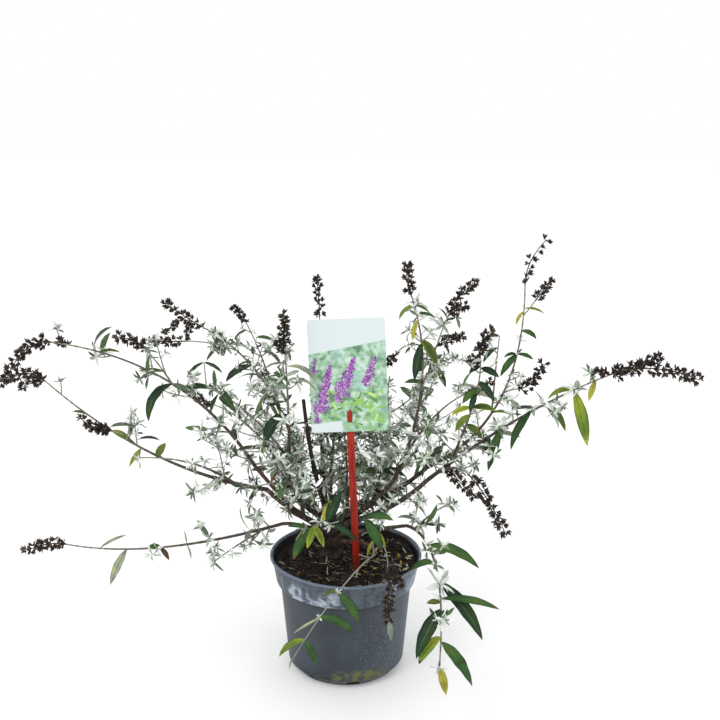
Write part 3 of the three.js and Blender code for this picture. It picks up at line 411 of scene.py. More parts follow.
@dataclass
class Leaves:
    """Rows of leaves: where each starts, which way it points, and its shape.

    Heading and face are unit vectors at right angles, and face is the upper side's normal.
    Arch is how far the blade bends towards its underside from root to tip, in radians, and
    curl how far it bends within its own plane. Fold lifts the edges by a share of the half
    width. Twist turns the blade about its own line.
    """

    FLAT = 0.01  # the least bend, in radians, that the formula of a bent line is worked out for

    root: Array
    heading: Array
    face: Array
    length: Array
    half_width: Array
    arch: Array
    curl: Array
    fold: Array
    twist: Array
    tone: Array

    @classmethod
    def one(cls, *values: object) -> "Leaves":
        """A set of one leaf, from its values in the fields' order."""
        return cls(*(np.array([value]) for value in values))

    @staticmethod
    def join(parts: list["Leaves"]) -> "Leaves":
        """All the rows of several sets, in order."""
        names = [item.name for item in fields(Leaves)]
        return Leaves(*(np.concatenate([getattr(part, name) for part in parts]) for name in names))

    def points(self, blade: Blade, wave: float = 0.0, thickness: float = 0.0) -> Array:
        """The blades' points, as (leaves, points, 3).

        The middle line bends by x = arch * u towards the underside and by y = curl * u to the
        side at share u. It lies at length * u * (sin x / x) * (sin y / y) along the first
        heading, at length * (1 - cos x) / arch below it and length * (1 - cos y) / curl beside
        it. Across it, a point stands off by its share v of the half width, and along the
        normal by fold * |v| plus a wave along the edge.

        Args:
            blade: the grid.
            wave: the height of the waves along the edges, as a share of the half width.
            thickness: how far the underside lies below the face, in millimetres.

        Returns:
            The points in millimetres.
        """
        bends = (self.arch, self.curl)
        arch, curl = (np.where(np.abs(b) < self.FLAT, self.FLAT, b)[:, None] for b in bends)
        down, aside = arch * blade.u, curl * blade.u
        reach = self.length[:, None]
        forward = reach * blade.u * np.sinc(down / math.pi) * np.sinc(aside / math.pi)
        heading, face = self.heading[:, None, :], self.face[:, None, :]
        beside = np.cross(self.face, self.heading)[:, None, :]
        middle = (self.root[:, None, :] + heading * forward[..., None]
                  - face * (reach * (1 - np.cos(down)) / arch)[..., None]
                  + beside * (reach * (1 - np.cos(aside)) / curl)[..., None])
        cos, sin = np.cos(aside)[..., None], np.sin(aside)[..., None]
        level = heading * cos + beside * sin
        ahead = unit(level * np.cos(down)[..., None] - face * np.sin(down)[..., None])
        beside = beside * cos - heading * sin
        normal = np.cross(ahead, beside)
        roll = self.twist[:, None] * blade.u
        across = beside * np.cos(roll)[..., None] + normal * np.sin(roll)[..., None]
        lift = normal * np.cos(roll)[..., None] - beside * np.sin(roll)[..., None]
        half = self.half_width[:, None] * blade.width()
        ripple = np.sin(blade.u * 21 + self.twist[:, None] * 9 + np.sign(blade.v)) * blade.v**2
        rise = half * (self.fold[:, None] * np.abs(blade.v) + wave * ripple) - thickness * blade.under
        return middle + across * (half * blade.v)[..., None] + lift * rise[..., None]


# ---- The growth rule -------------------------------------------------------------------------

# Lengths are in millimetres. A stem starts a gap past its bough, and its tip has the radius
# given here. A side shoot's foot has a share of the stem's radius there.
GAP = 0.3
STEM_TIP, SIDE_TIP, SIDE_SHARE = 1.05, 0.95, 0.72
STEM_STEP = 42
FIRST_SEED = 36
# Who fills which space is kept as balls along each shape, with a margin between two owners.
BALL_STEP, BALL_MARGIN = 3, 1.5
# The lengths at a stem's foot and tip that have no joints.
FIRST_JOINT, LAST_JOINT_CLEAR = 13, 9
# An old leaf's belly is a share of the way along it, and its tip hangs by a share of its length.
OLD_LENGTH, OLD_HALF, OLD_BELLY, OLD_DROOP = 72, 8, 0.42, 0.55
TUFT_RAYS, TUFT_LENGTH, TUFT_CUP = 5, 25, 0.45
HEAD_RADIUS = 6.8
# The radius of a stem's skin against the rule's own.
SLIM = 0.86
# The pot and its compost, as the crown keeps clear of them.
RIM_RADIUS, BORE_RADIUS, RIM_TOP, SOIL_TOP = 95, 87, 148, 136
TRUNK_AT = np.array([-18.0, 20.0])
# The front view looks down by the pitch: its right, its up, and the way to the viewer.
PITCH = 16.2
RIGHT = np.array([1.0, 0, 0])
RISE = np.array([0, math.sin(math.radians(PITCH)), math.cos(math.radians(PITCH))])
NEAR = np.array([0, -math.cos(math.radians(PITCH)), math.sin(math.radians(PITCH))])


def from_trunk(at: Array) -> Array:
    """How far points stand out from the trunk, level."""
    return np.hypot(*(at[:, :2] - TRUNK_AT).T)


def aimed(bearing: float, lean: float) -> Array:
    """The unit vector with a bearing as seen from the front, and a lean towards the front."""
    b, t = math.radians(bearing), math.radians(lean)
    return math.cos(t) * (math.cos(b) * RIGHT + math.sin(b) * RISE) + math.sin(t) * NEAR


class Habit(Enum):
    """How a branch is dressed."""

    HEART = "close and twiggy"
    PLAIN = "long stems with twigs"
    LEAFY = "long stems with old leaves"
    BARE = "nearly bare"


@dataclass(frozen=True)
class Dress:
    """The step between joints, and then pairs of values for a stem's foot and tip.

    They are the odds of a twig, the odds of an old leaf, and the length of a twig.
    """

    step: float
    twig: Pair
    old_leaf: Pair
    length: Pair


DRESS = {
    Habit.HEART: Dress(26, (0.8, 0.7), (0.1, 0.1), (64, 34)),
    Habit.PLAIN: Dress(54, (0.72, 0.4), (0.1, 0.22), (66, 11)),
    Habit.LEAFY: Dress(38, (0.4, 0.12), (0.5, 0.8), (40, 11)),
    Habit.BARE: Dress(62, (0.5, 0.4), (0, 0.6), (34, 10)),
}


class Arc:
    """A curve through start (1-t)^2 + control 2t(1-t) + tip t^2, for t from 0 to 1."""

    def __init__(self, start: Array, control: Array, tip: Array) -> None:
        """Keep the three points and measure the length over two hundred chords.

        Args:
            start: the foot.
            control: the point that the curve bends towards.
            tip: the far end.
        """
        self.start, self.control, self.tip = (np.asarray(p, float) for p in (start, control, tip))
        chords = np.diff(self.at(np.linspace(0, 1, 201)), axis=0)
        self.length = float(np.linalg.norm(chords, axis=1).sum())

    @classmethod
    def bent(cls, start: Array, tip: Array, bend: Array) -> "Arc":
        """The curve whose middle stands off the straight line by the bend."""
        start, tip, bend = (np.asarray(p, float) for p in (start, tip, bend))
        return cls(start, (start + tip) / 2 + 2 * bend, tip)

    def at(self, share: Array | float) -> Array:
        """The points at the given shares."""
        t = np.asarray(share, float)[..., None]
        return self.start * (1 - t) ** 2 + self.control * 2 * t * (1 - t) + self.tip * t**2

    def heading(self, share: Array | float) -> Array:
        """The unit tangents: (control - start)(1-t) + (tip - control)t, at length one."""
        t = np.asarray(share, float)[..., None]
        return unit((self.control - self.start) * (1 - t) + (self.tip - self.control) * t)


@dataclass
class Limb:
    """A tapering branch along a curve, straight from step to step where the rule measures it."""

    arc: Arc
    foot_radius: float
    tip_radius: float
    steps: int = 1

    def radius(self, share: Array | float) -> Array | float:
        """The radius at a share of the length."""
        return blend(self.foot_radius, self.tip_radius, share)

    def axis(self, share: Array | float) -> Array:
        """The points on the stepped axis: each lies between the curve's points at two steps.

        Args:
            share: how far along, from 0 to 1.

        Returns:
            The points.
        """
        share = np.asarray(share, float)
        ring = np.minimum(np.floor(share * self.steps), self.steps - 1)
        part = (share * self.steps - ring)[..., None]
        return self.arc.at(ring / self.steps) * (1 - part) + self.arc.at((ring + 1) / self.steps) * part

    def balls(self, start: float = 0.0) -> tuple[Array, Array]:
        """Centres and radii of balls every three millimetres or less, from a share to the tip.

        Args:
            start: the share to start from.

        Returns:
            The centres and the radii.
        """
        count = math.ceil(self.arc.length / BALL_STEP)
        share = np.arange(math.ceil(start * count), count + 1) / count
        return self.axis(share), self.radius(share) + 0 * share


class Trunk(Limb):
    """The main stem, whose foot flares by the square of the height left in the flare."""

    FLARE_RADIUS, FLARE_SHARE = 15, 0.22

    def radius(self, share: Array | float) -> Array | float:
        """The even taper plus the flare."""
        flare = np.maximum(0, 1 - np.asarray(share) / self.FLARE_SHARE) ** 2
        return super().radius(share) + (self.FLARE_RADIUS - self.foot_radius) * flare


@dataclass(frozen=True)
class Bough:
    """A bough's place: the limb that it grows from, where, its tip, bend and two radii."""

    on: str
    at: float
    tip: Triple
    bend: Triple
    radii: Pair


@dataclass(frozen=True)
class Shoot:
    """A stem's tip and bend, where it leaves the main stem, and its seed head's reach."""

    tip: Triple
    bend: Triple
    at: float = 0.0
    head: Triple | None = None


@dataclass(frozen=True)
class Branch:
    """One bough, and the shoots beyond it: the stem that carries it on, then the side shoots."""

    name: str
    habit: Habit
    bough: Bough
    shoots: tuple[Shoot, ...]


BRANCHES = (
    Branch("centre", Habit.PLAIN, Bough("trunk", 0.97, (-28, 12, 243), (0, 0, 0), (5.4, 4)), (
        Shoot((-35, 150, 413), (0, 0, -14), head=(-4, 15, 52)),
        Shoot((18, 96, 372), (4, 0, 0), at=0.3),
    )),
    Branch("left_long", Habit.PLAIN, Bough("trunk", 0.7, (-94, -25, 243), (0, 3, -8), (5, 3.2)), (
        Shoot((-365, 20, 367), (-5, 2, -25), head=(-58, 10, -4)),
        Shoot((-242, -40, 290), (4, -1, 10), at=0.14),
        Shoot((-281, -8, 312), (0, 0, 4), at=0.58, head=(-36, -10, 20)),
    )),
    Branch("left_upper", Habit.PLAIN,
           Bough("bough_left_long", 0.55, (-106, -28, 272), (2, 2, -4), (3.4, 2.6)), (
        Shoot((-322, -95, 447), (18, 2, 28), head=(-48, -20, -39)),
        Shoot((-222, -76, 434), (0, 0, 2), at=0.5, head=(-31, -12, 18)),
    )),
    Branch("left_upright", Habit.PLAIN, Bough("trunk", 0.93, (-68, -12, 258), (-8, 0, -6), (3.8, 2.8)), (
        Shoot((-68, -50, 428), (2, -6, 0), head=(0, -8, 43)),
        Shoot((-158, -58, 384), (4, -4, 11), at=0.12),
    )),
    Branch("left_back", Habit.PLAIN, Bough("trunk", 0.86, (-60, 34, 262), (-6, 4, -6), (4, 2.8)), (
        Shoot((-182, 105, 412), (15, 0, 18), head=(-51, 20, 28)),
        Shoot((-130, 135, 410), (0, 5, 6), at=0.3, head=(-18, 10, 19)),
        Shoot((-200, 74, 402), (2, 0, 3), at=0.74, head=(-47, 5, -3)),
    )),
    Branch("left_low", Habit.BARE, Bough("trunk", 0.42, (-77, -15, 194), (0, 0, 6), (3.6, 2.4)), (
        Shoot((-330, -65, 190), (-14, -5, -15), head=(-51, -10, -6)),
        Shoot((-153, -84, 177), (0, 0, 2), at=0.06),
    )),
    Branch("heart_left", Habit.HEART, Bough("trunk", 0.62, (-52, -16, 208), (-2, -4, -2), (3.6, 2.8)), (
        Shoot((-46, -34, 330), (-4, 2, 0)),
        Shoot((-96, -60, 312), (0, -6, 0), at=0.2),
    )),
    Branch("heart_front", Habit.HEART, Bough("trunk", 0.8, (2, -2, 208), (2, 0, 2), (3.8, 2.8)), (
        Shoot((-4, 18, 330), (2, 2, 0)),
        Shoot((58, -26, 330), (4, 0, -6), at=0.3),
    )),
    Branch("heart_right", Habit.HEART, Bough("trunk", 0.68, (34, 16, 208), (2, 2, -2), (3.6, 2.8)), (
        Shoot((52, 34, 352), (6, 0, -4)),
        Shoot((18, 62, 320), (0, 4, 0), at=0.35),
    )),
    Branch("right_upright", Habit.PLAIN, Bough("trunk", 0.9, (60, -8, 250), (6, 0, -8), (4.2, 3)), (
        Shoot((78, -12, 479), (22, -4, 6), head=(-5, 2, 39)),
        Shoot((130, 80, 438), (-1, 5, 5), at=0.33, head=(34, 20, 36)),
        Shoot((62, 12, 404), (0, 2, 6), at=0.72, head=(-20, 5, -24)),
    )),
    Branch("right_long", Habit.PLAIN, Bough("trunk", 0.78, (100, -20, 254), (4, -4, -10), (4.6, 3)), (
        Shoot((299, -80, 405), (3, 0, 13), head=(96, -20, 0)),
        Shoot((154, -65, 421), (10, -8, 16), at=0.12, head=(11, -7, 35)),
        Shoot((144, -74, 282), (2, -4, 8), at=0.06, head=(41, -35, -59)),
    )),
    Branch("right_top", Habit.LEAFY, Bough("trunk", 0.84, (102, 30, 250), (4, 4, -8), (4.4, 2.8)), (
        Shoot((227, 110, 466), (29, -15, -26), head=(27, 15, 56)),
        Shoot((202, 150, 388), (0, 0, 7), at=0.42),
        Shoot((212, 22, 356), (-3, -2, 2), at=0.52, head=(26, -15, 36)),
        Shoot((240, 102, 448), (0, -1, 0), at=0.88, head=(21, 8, 24)),
    )),
    Branch("front_right", Habit.LEAFY, Bough("trunk", 0.5, (74, -34, 200), (4, 2, 0), (3.6, 2.4)), (
        Shoot((106, -185, 99), (14, -15, 42)),
        Shoot((126, -58, 240), (0, 0, 4), at=0.1),
    )),
    Branch("front", Habit.LEAFY, Bough("trunk", 0.34, (36, -46, 168), (13, 8, 2), (3.2, 2.2)), (
        Shoot((-56, -176, 105), (6, -22, 30)),
        Shoot((50, -122, 184), (4, 2, 22), at=0.06, head=(2, -10, -60)),
        Shoot((20, -92, 214), (4, 4, 12), at=0.03),
    )),
    Branch("front_left", Habit.LEAFY, Bough("trunk", 0.36, (-42, -24, 180), (-2, 0, 2), (3, 2.2)), (
        Shoot((-56, -100, 212), (4, 0, 14)),
        Shoot((-18, -80, 224), (0, 0, 6), at=0.3),
    )),
    Branch("back_left", Habit.PLAIN, Bough("trunk", 0.72, (-76, 76, 222), (-2, 4, -4), (4, 2.8)), (
        Shoot((-188, 198, 278), (2, 0, 16), head=(-36, 36, 12)),
        Shoot((-108, 226, 286), (0, 4, 10), at=0.3, head=(-12, 40, 18)),
    )),
    Branch("back", Habit.PLAIN, Bough("trunk", 0.66, (-20, 84, 224), (0, 0, -2), (4, 2.8)), (
        Shoot((-24, 236, 300), (6, 0, 20), head=(-6, 56, 14)),
        Shoot((40, 204, 322), (0, 4, 10), at=0.34),
    )),
    Branch("back_right", Habit.PLAIN, Bough("trunk", 0.76, (64, 74, 228), (2, 4, -4), (4, 2.8)), (
        Shoot((168, 214, 288), (0, 0, 18), head=(38, 34, 8)),
        Shoot((98, 238, 280), (0, 4, 10), at=0.3, head=(10, 42, 10)),
    )),
    Branch("back_low", Habit.LEAFY, Bough("trunk", 0.32, (36, 80, 180), (2, 0, 6), (3.2, 2.2)), (
        Shoot((70, 212, 148), (2, 6, 26)),
        Shoot((-26, 196, 172), (0, 6, 18), at=0.24),
    )),
)
DEAD_STUB = Bough("bough_centre", 0.2, (-50, -2, 350), (-2, -14, 0), (2.8, 2.2))


@dataclass(frozen=True)
class Sprig:
    """A shape listed on a stem: which stem, where on it, its way out and its length.

    The bearing is seen from the front: 0 is to the right and 90 up. Lean turns the way out
    from there towards the front. Both are in degrees.
    """

    branch: str
    stem: int
    at: float
    bearing: float
    length: float
    lean: float = 0.0


@dataclass(frozen=True)
class SetLeaf(Sprig):
    """A listed old leaf: at roll 0 its face looks to the front, and at 90 up.

    Slim is its half width against its length, and arch its bend in radians.
    """

    tone: int = 1
    slim: float = 0.12
    roll: float = 40
    arch: float = 0.8


def on_hosts(kind: type, *groups: tuple) -> list:
    """Listed rows, in order.

    Args:
        kind: the class of a row.
        *groups: the name and the stem of a host, then the other values of each of its rows.

    Returns:
        The rows.
    """
    return [kind(host, stem, *row) for host, stem, *rows in groups for row in rows]


SPRIGS = {
    "front_sprig": Sprig("front", 2, 0.55, 112, 20, 10),
    "left_pair": Sprig("left_upright", 1, 1.0, 96, 28, 0),
}
# A row says at, bearing, length, lean and tone, and then slim, roll and arch where it sets them.
SET_LEAVES = on_hosts(
    SetLeaf,
    ("left_long", 0, (0.69, -14, 30, 10, 3, 0.14, 30, 0.5)),
    ("left_long", 1, (0.85, 62, 24, 20, 2, 0.2, 20, 0.4)),
    ("left_long", 0, (0.55, 228, 28, 10, 3, 0.13, 30, 0.5), (0.8, 150, 20, 0, 2, 0.1)),
    ("left_upper", 0, (0.5, 196, 54, 0, 0, 0.12, 48, 1.5), (0.82, 20, 24, 0, 2, 0.1),
     (0.3, 80, 26, 20, 1, 0.12)),
    ("left_pair", 0, (1.0, 205, 26, 10, 0, 0.12, 48, 0.7), (1.0, -12, 26, 10, 0, 0.12, 48, 0.7)),
    ("left_upright", 1, (0.95, 158, 32, 10, 1, 0.12, 44, 0.8)),
    ("left_back", 0, (0.6, 186, 40, 20, 0, 0.15, 48, 1.0)),
    ("left_upright", 0, (0.5, 196, 46, 20, 0, 0.17, 44, 1.4), (0.76, 24, 40, 10, 6, 0.08, 55, 1.7),
     (0.86, 14, 44, 10, 6, 0.08, 55, 1.6), (0.88, 160, 30, 10, 6, 0.08, 55, 1.4)),
    ("left_back", 0, (0.9, 268, 27, 0, 1, 0.14), (0.8, 14, 22, 0, 1, 0.14, 40, 0.9)),
    ("left_low", 0, (0.82, 40, 36, 0, 6, 0.06, 44, 0.6), (0.68, 238, 47, 10, 6, 0.12, 30, 0.5),
     (0.58, 26, 17, 10, 1, 0.2, 30, 0.5), (0.52, -44, 19, 10, 7, 0.17, 20, 0.5),
     (0.4, -62, 20, 0, 6, 0.07), (0.4, 96, 17, 0, 6, 0.07)),
    ("heart_left", 1, (0.6, 236, 20, 20, 7, 0.2)),
    ("right_upright", 0, (0.95, 192, 26, 10, 3, 0.12, 48, 1.2), (0.95, -2, 20, 10, 1, 0.12, 48, 0.9),
     (0.9, 14, 23, 10, 1, 0.13, 48, 0.9), (0.87, 246, 26, 10, 4, 0.14),
     (0.74, 256, 46, 10, 0, 0.12, 20, 0.5), (0.76, -46, 38, 20, 2, 0.15, 20, 0.7)),
    ("right_upright", 1, (0.72, 14, 29, 10, 1, 0.12, 48, 1.1), (0.46, -46, 36, 20, 1, 0.13),
     (0.5, 206, 30, 20, 0, 0.13)),
    ("right_top", 0, (0.9, 224, 21, 10, 4, 0.13), (0.91, 10, 27, 10, 3, 0.1, 48, 0.9),
     (0.72, 222, 36, 10, 1, 0.14, 30, 0.5)),
    ("right_top", 1, (0.8, 196, 30, 20, 1, 0.12, 44, 1.1)),
    ("right_long", 0, (0.8, -74, 66, 10, 3, 0.11, 20, 0.5), (0.92, 246, 25, 10, 4, 0.15, 30, 0.4),
     (0.65, -36, 40, 10, 2, 0.1, 30, 0.9), (0.79, 160, 32, 10, 3, 0.09, 30, 1.3),
     (0.57, 222, 52, 10, 1, 0.1, 30, 0.9), (0.4, 247, 52, 20, 1, 0.11, 30, 0.5),
     (0.34, 248, 20, 10, 0, 0.2, 20, 0.4), (0.38, -4, 29, 10, 6, 0.11, 30, 0.3)),
    ("right_long", 1, (0.62, 208, 25, 10, 1, 0.17, 20, 0.6), (0.85, -8, 24, 10, 0, 0.17, 20, 0.6),
     (0.88, 196, 16, 10, 0, 0.2, 20, 0.5), (0.7, -46, 30, 10, 0, 0.17, 20, 0.4),
     (0.58, 246, 24, 10, 0, 0.15, 20, 0.3), (0.44, 14, 28, 10, 2, 0.15, 30, 0.7),
     (0.44, 176, 27, 10, 3, 0.13, 30, 0.8), (0.38, 214, 27, 10, 3, 0.16, 20, 0.6),
     (0.3, -30, 26, 10, 2, 0.18, 20, 0.5)),
    ("right_top", 0, (0.42, 24, 30, 10, 3, 0.08, 40, 1.2)),
    ("right_top", 1, (1.0, 160, 18, 10, 1, 0.15, 30, 0.9)),
    ("right_top", 0, (0.82, 4, 22, 10, 1, 0.17, 30, 1.1), (0.72, 168, 18, 10, 1, 0.15, 40, 0.9),
     (0.72, 4, 22, 10, 1, 0.14, 40, 0.8)),
    ("right_upright", 1, (0.3, 60, 24, 20, 1, 0.12, 30, 0.5)),
    ("right_upright", 0, (0.52, 160, 22, 10, 1, 0.14, 30, 0.7)),
    ("heart_right", 0, (0.3, 20, 34, 30, 1, 0.15, 30, 0.8), (0.12, -20, 30, 30, 1, 0.15, 30, 0.8)),
    ("front_right", 0, (0.33, 4, 66, 20, 1, 0.1, 44, 0.9), (0.47, 174, 30, 10, 1, 0.15, 48, 0.9),
     (0.6, -40, 82, 10, 0, 0.1, 30, 0.6), (0.72, 160, 18, 20, 2, 0.18, 40, 0.6),
     (0.7, 8, 68, 10, 1, 0.07, 44, 0.6), (0.75, 232, 62, 20, 0, 0.14, 30, 0.6),
     (0.88, 204, 40, 20, 3, 0.16, 40, 1.0), (0.9, -42, 60, 10, 1, 0.13, 30, 0.6),
     (1.0, -74, 32, 10, 4, 0.15, 20, 0.4)),
    ("front", 0, (0.53, -42, 42, 10, 1, 0.14, 20, 0.5), (0.53, 156, 20, 10, 2, 0.12, 48, 1.6),
     (0.74, 6, 43, 10, 1, 0.13, 40, 1.0), (0.74, 206, 35, 0, 6, 0.05, 44, 0.2),
     (0.89, 184, 35, 10, 3, 0.13, 40, 1.0), (0.89, -58, 32, 10, 1, 0.13, 20, 0.4),
     (1.0, 236, 14, 10, 6, 0.1)),
    ("front", -1, (0.98, -86, 24, 0, 6, 0.16, 10, 0.2)),
    ("front_sprig", 0, (1.0, -50, 44, 20, 1, 0.15, 20, 0.5), (1.0, 30, 36, 10, 1, 0.14, 48, 1.2),
     (0.6, -36, 38, 20, 4, 0.13, 30, 0.7)),
    ("front", 2, (0.3, 242, 20, 20, 4, 0.14)),
    ("front_left", 0, (0.35, 236, 42, 20, 1, 0.16, 20, 0.5), (0.5, 150, 24, 20, 1, 0.13)),
    ("front_left", 1, (0.3, 250, 30, 30, 3, 0.16, 20, 0.4), (0.3, -58, 30, 30, 3, 0.15, 20, 0.5),
     (0.9, 70, 42, 10, 0, 0.17, 20, 0.4), (0.7, 74, 30, 20, 4, 0.14, 20, 0.4),
     (1.0, -16, 42, 20, 0, 0.1, 40, 0.6)),
)
# Seed heads, and leaf stars whose length is that of their leaves: at, bearing, length and lean.
SET_HEADS = on_hosts(
    Sprig,
    ("left_upper", 0, (0.93, 160, 14, 0)),
    ("left_long", 2, (1.0, 172, 26, 0)),
    ("left_back", -1, (0.45, 215, 32, 0), (0.35, 262, 24, 0)),
    ("left_upright", 0, (0.95, 125, 16, 10)),
    ("right_upright", 1, (0.62, 22, 34, 10), (0.95, 30, 26, 0)),
    ("right_long", 0, (1.0, 22, 34, 20), (1.0, 168, 17, 0)),
    ("right_long", -1, (0.3, 28, 30, 10)),
    ("right_long", 1, (0.9, 150, 14, 10)),
    ("front", 1, (0.9, -60, 30, 10)),
    ("left_long", 0, (1.0, 196, 30, 10)),
    ("right_long", 0, (0.09, -46, 50, 20)),
)
SET_STARS = on_hosts(
    Sprig,
    ("front_right", 0, (0.33, 110, 16, 20), (0.5, 60, 17, 30), (0.62, 35, 25, 35), (0.68, 250, 14, 30)),
    ("front_right", 1, (0.9, 60, 17, 20)),
    ("right_long", 0, (0.8, 75, 22, 20), (0.82, -50, 14, 20), (0.63, 85, 18, 20), (0.58, 110, 14, 20),
     (0.42, 96, 26, 20), (0.22, 80, 17, 20)),
    ("right_top", 0, (0.78, 110, 15, 20), (0.5, 70, 14, 20), (0.72, 60, 15, 20), (0.56, 20, 13, 20)),
    ("front_left", 1, (1.0, -70, 17, 30)),
    ("front", 0, (0.53, 120, 7, 20), (0.74, 120, 6, 20), (0.28, 90, 9, 20)),
)
# The share of the fans that seed heads keep, by branch and number, where some have dropped.
SPARSE_HEADS = {("right_top", 0): 0.42, ("right_long", 2): 0.86}
# The share of their length that the rule's twigs keep.
RULE_TWIGS = {"front": 0.36, "front_left": 0.4}
# The size that the rule's old leaves keep: none where the leaves are listed.
RULE_LEAVES = {name: 0.0 for name in ("left_low", "heart_left", "left_long", "front", "front_right",
                                      "right_long", "front_left", "right_upright", "right_top")}
RULE_LEAVES["left_upright"] = 0.7


class Room:
    """Who fills which part of space, as balls."""

    def __init__(self, blocks: list) -> None:
        """Start empty, apart from blocks that say which balls touch them.

        Args:
            blocks: functions that tell which balls touch them.
        """
        self.blocks = blocks
        self.at = np.zeros((0, 3))
        self.radius = np.zeros(0)
        self.owner = np.zeros(0, int)
        self.leaf = np.zeros(0, bool)

    def claim(self, owner: int, balls: tuple[Array, Array], leaf: bool = False) -> None:
        """Fill space with an owner's balls.

        Args:
            owner: the owner's number.
            balls: centres and radii.
            leaf: whether they are a leaf's.
        """
        at, radius = balls
        self.at = np.concatenate([self.at, at])
        self.radius = np.concatenate([self.radius, radius])
        self.owner = np.concatenate([self.owner, np.full(len(at), owner)])
        self.leaf = np.concatenate([self.leaf, np.full(len(at), leaf)])

    def is_clear(self, owner: int, balls: tuple[Array, Array], leaf: bool = False) -> bool:
        """Whether balls keep clear of the blocks, of other owners, and leaves of leaves.

        Args:
            owner: the owner's number.
            balls: centres and radii.
            leaf: whether they are a leaf's.

        Returns:
            True where nothing is touched.
        """
        at, radius = balls
        if any(block(at, radius + BALL_MARGIN).any() for block in self.blocks):
            return False
        near = np.all((self.at > at.min(axis=0) - 30) & (self.at < at.max(axis=0) + 30), axis=1)
        both = radius[:, None] + self.radius[near]
        foreign = self.owner[near] != owner
        limit = np.where(foreign, both + BALL_MARGIN, both * (self.leaf[near] & leaf))
        gap = np.linalg.norm(at[:, None, :] - self.at[near], axis=-1)
        return not (gap < limit).any()


@dataclass
class OldLeaf:
    """An old leaf's root, the way it sets out, and its size against the middle one."""

    root: Array
    heading: Array
    size: float

    def balls(self) -> tuple[Array, Array]:
        """Balls along root, belly and tip, from a quarter of the way out.

        Returns:
            The centres and the radii.
        """
        length = OLD_LENGTH * self.size
        fall = OLD_DROOP * length
        belly = self.root + self.heading * OLD_BELLY * length - UP * fall * OLD_BELLY**2
        tip = self.root + self.heading * length * math.sqrt(1 - OLD_DROOP**2) - UP * fall
        count = math.ceil(length / BALL_STEP)
        share = np.arange(math.ceil(count / 4), count + 1) / count
        inner = share < OLD_BELLY
        leg = np.where(inner, share / OLD_BELLY, (share - OLD_BELLY) / (1 - OLD_BELLY))[:, None]
        first, second = self.root + (belly - self.root) * leg, belly + (tip - belly) * leg
        radius = OLD_HALF * self.size * np.where(inner, leg[:, 0], 1 - leg[:, 0])
        return np.where(inner[:, None], first, second), radius


@dataclass
class Tuft:
    """A tuft of young leaves: its middle, its axis, its turn and the length of each ray."""

    centre: Array
    axis: Array
    turn: float
    lengths: Array

    def balls(self) -> tuple[Array, Array]:
        """Balls along each ray, clear of the middle.

        Returns:
            The centres and the radii.
        """
        at, radius = [], []
        for ray, length in enumerate(self.lengths):
            out = around(self.axis, self.turn + ray * 2 * math.pi / TUFT_RAYS)
            reach = out * length + self.axis * length * TUFT_CUP
            count = math.ceil(float(np.linalg.norm(reach)) / BALL_STEP)
            share = np.arange(2, count + 1) / count
            at.append(self.centre + reach * share[:, None])
            radius.append(2.8 * (1 - share))
        return np.concatenate(at), np.concatenate(radius)


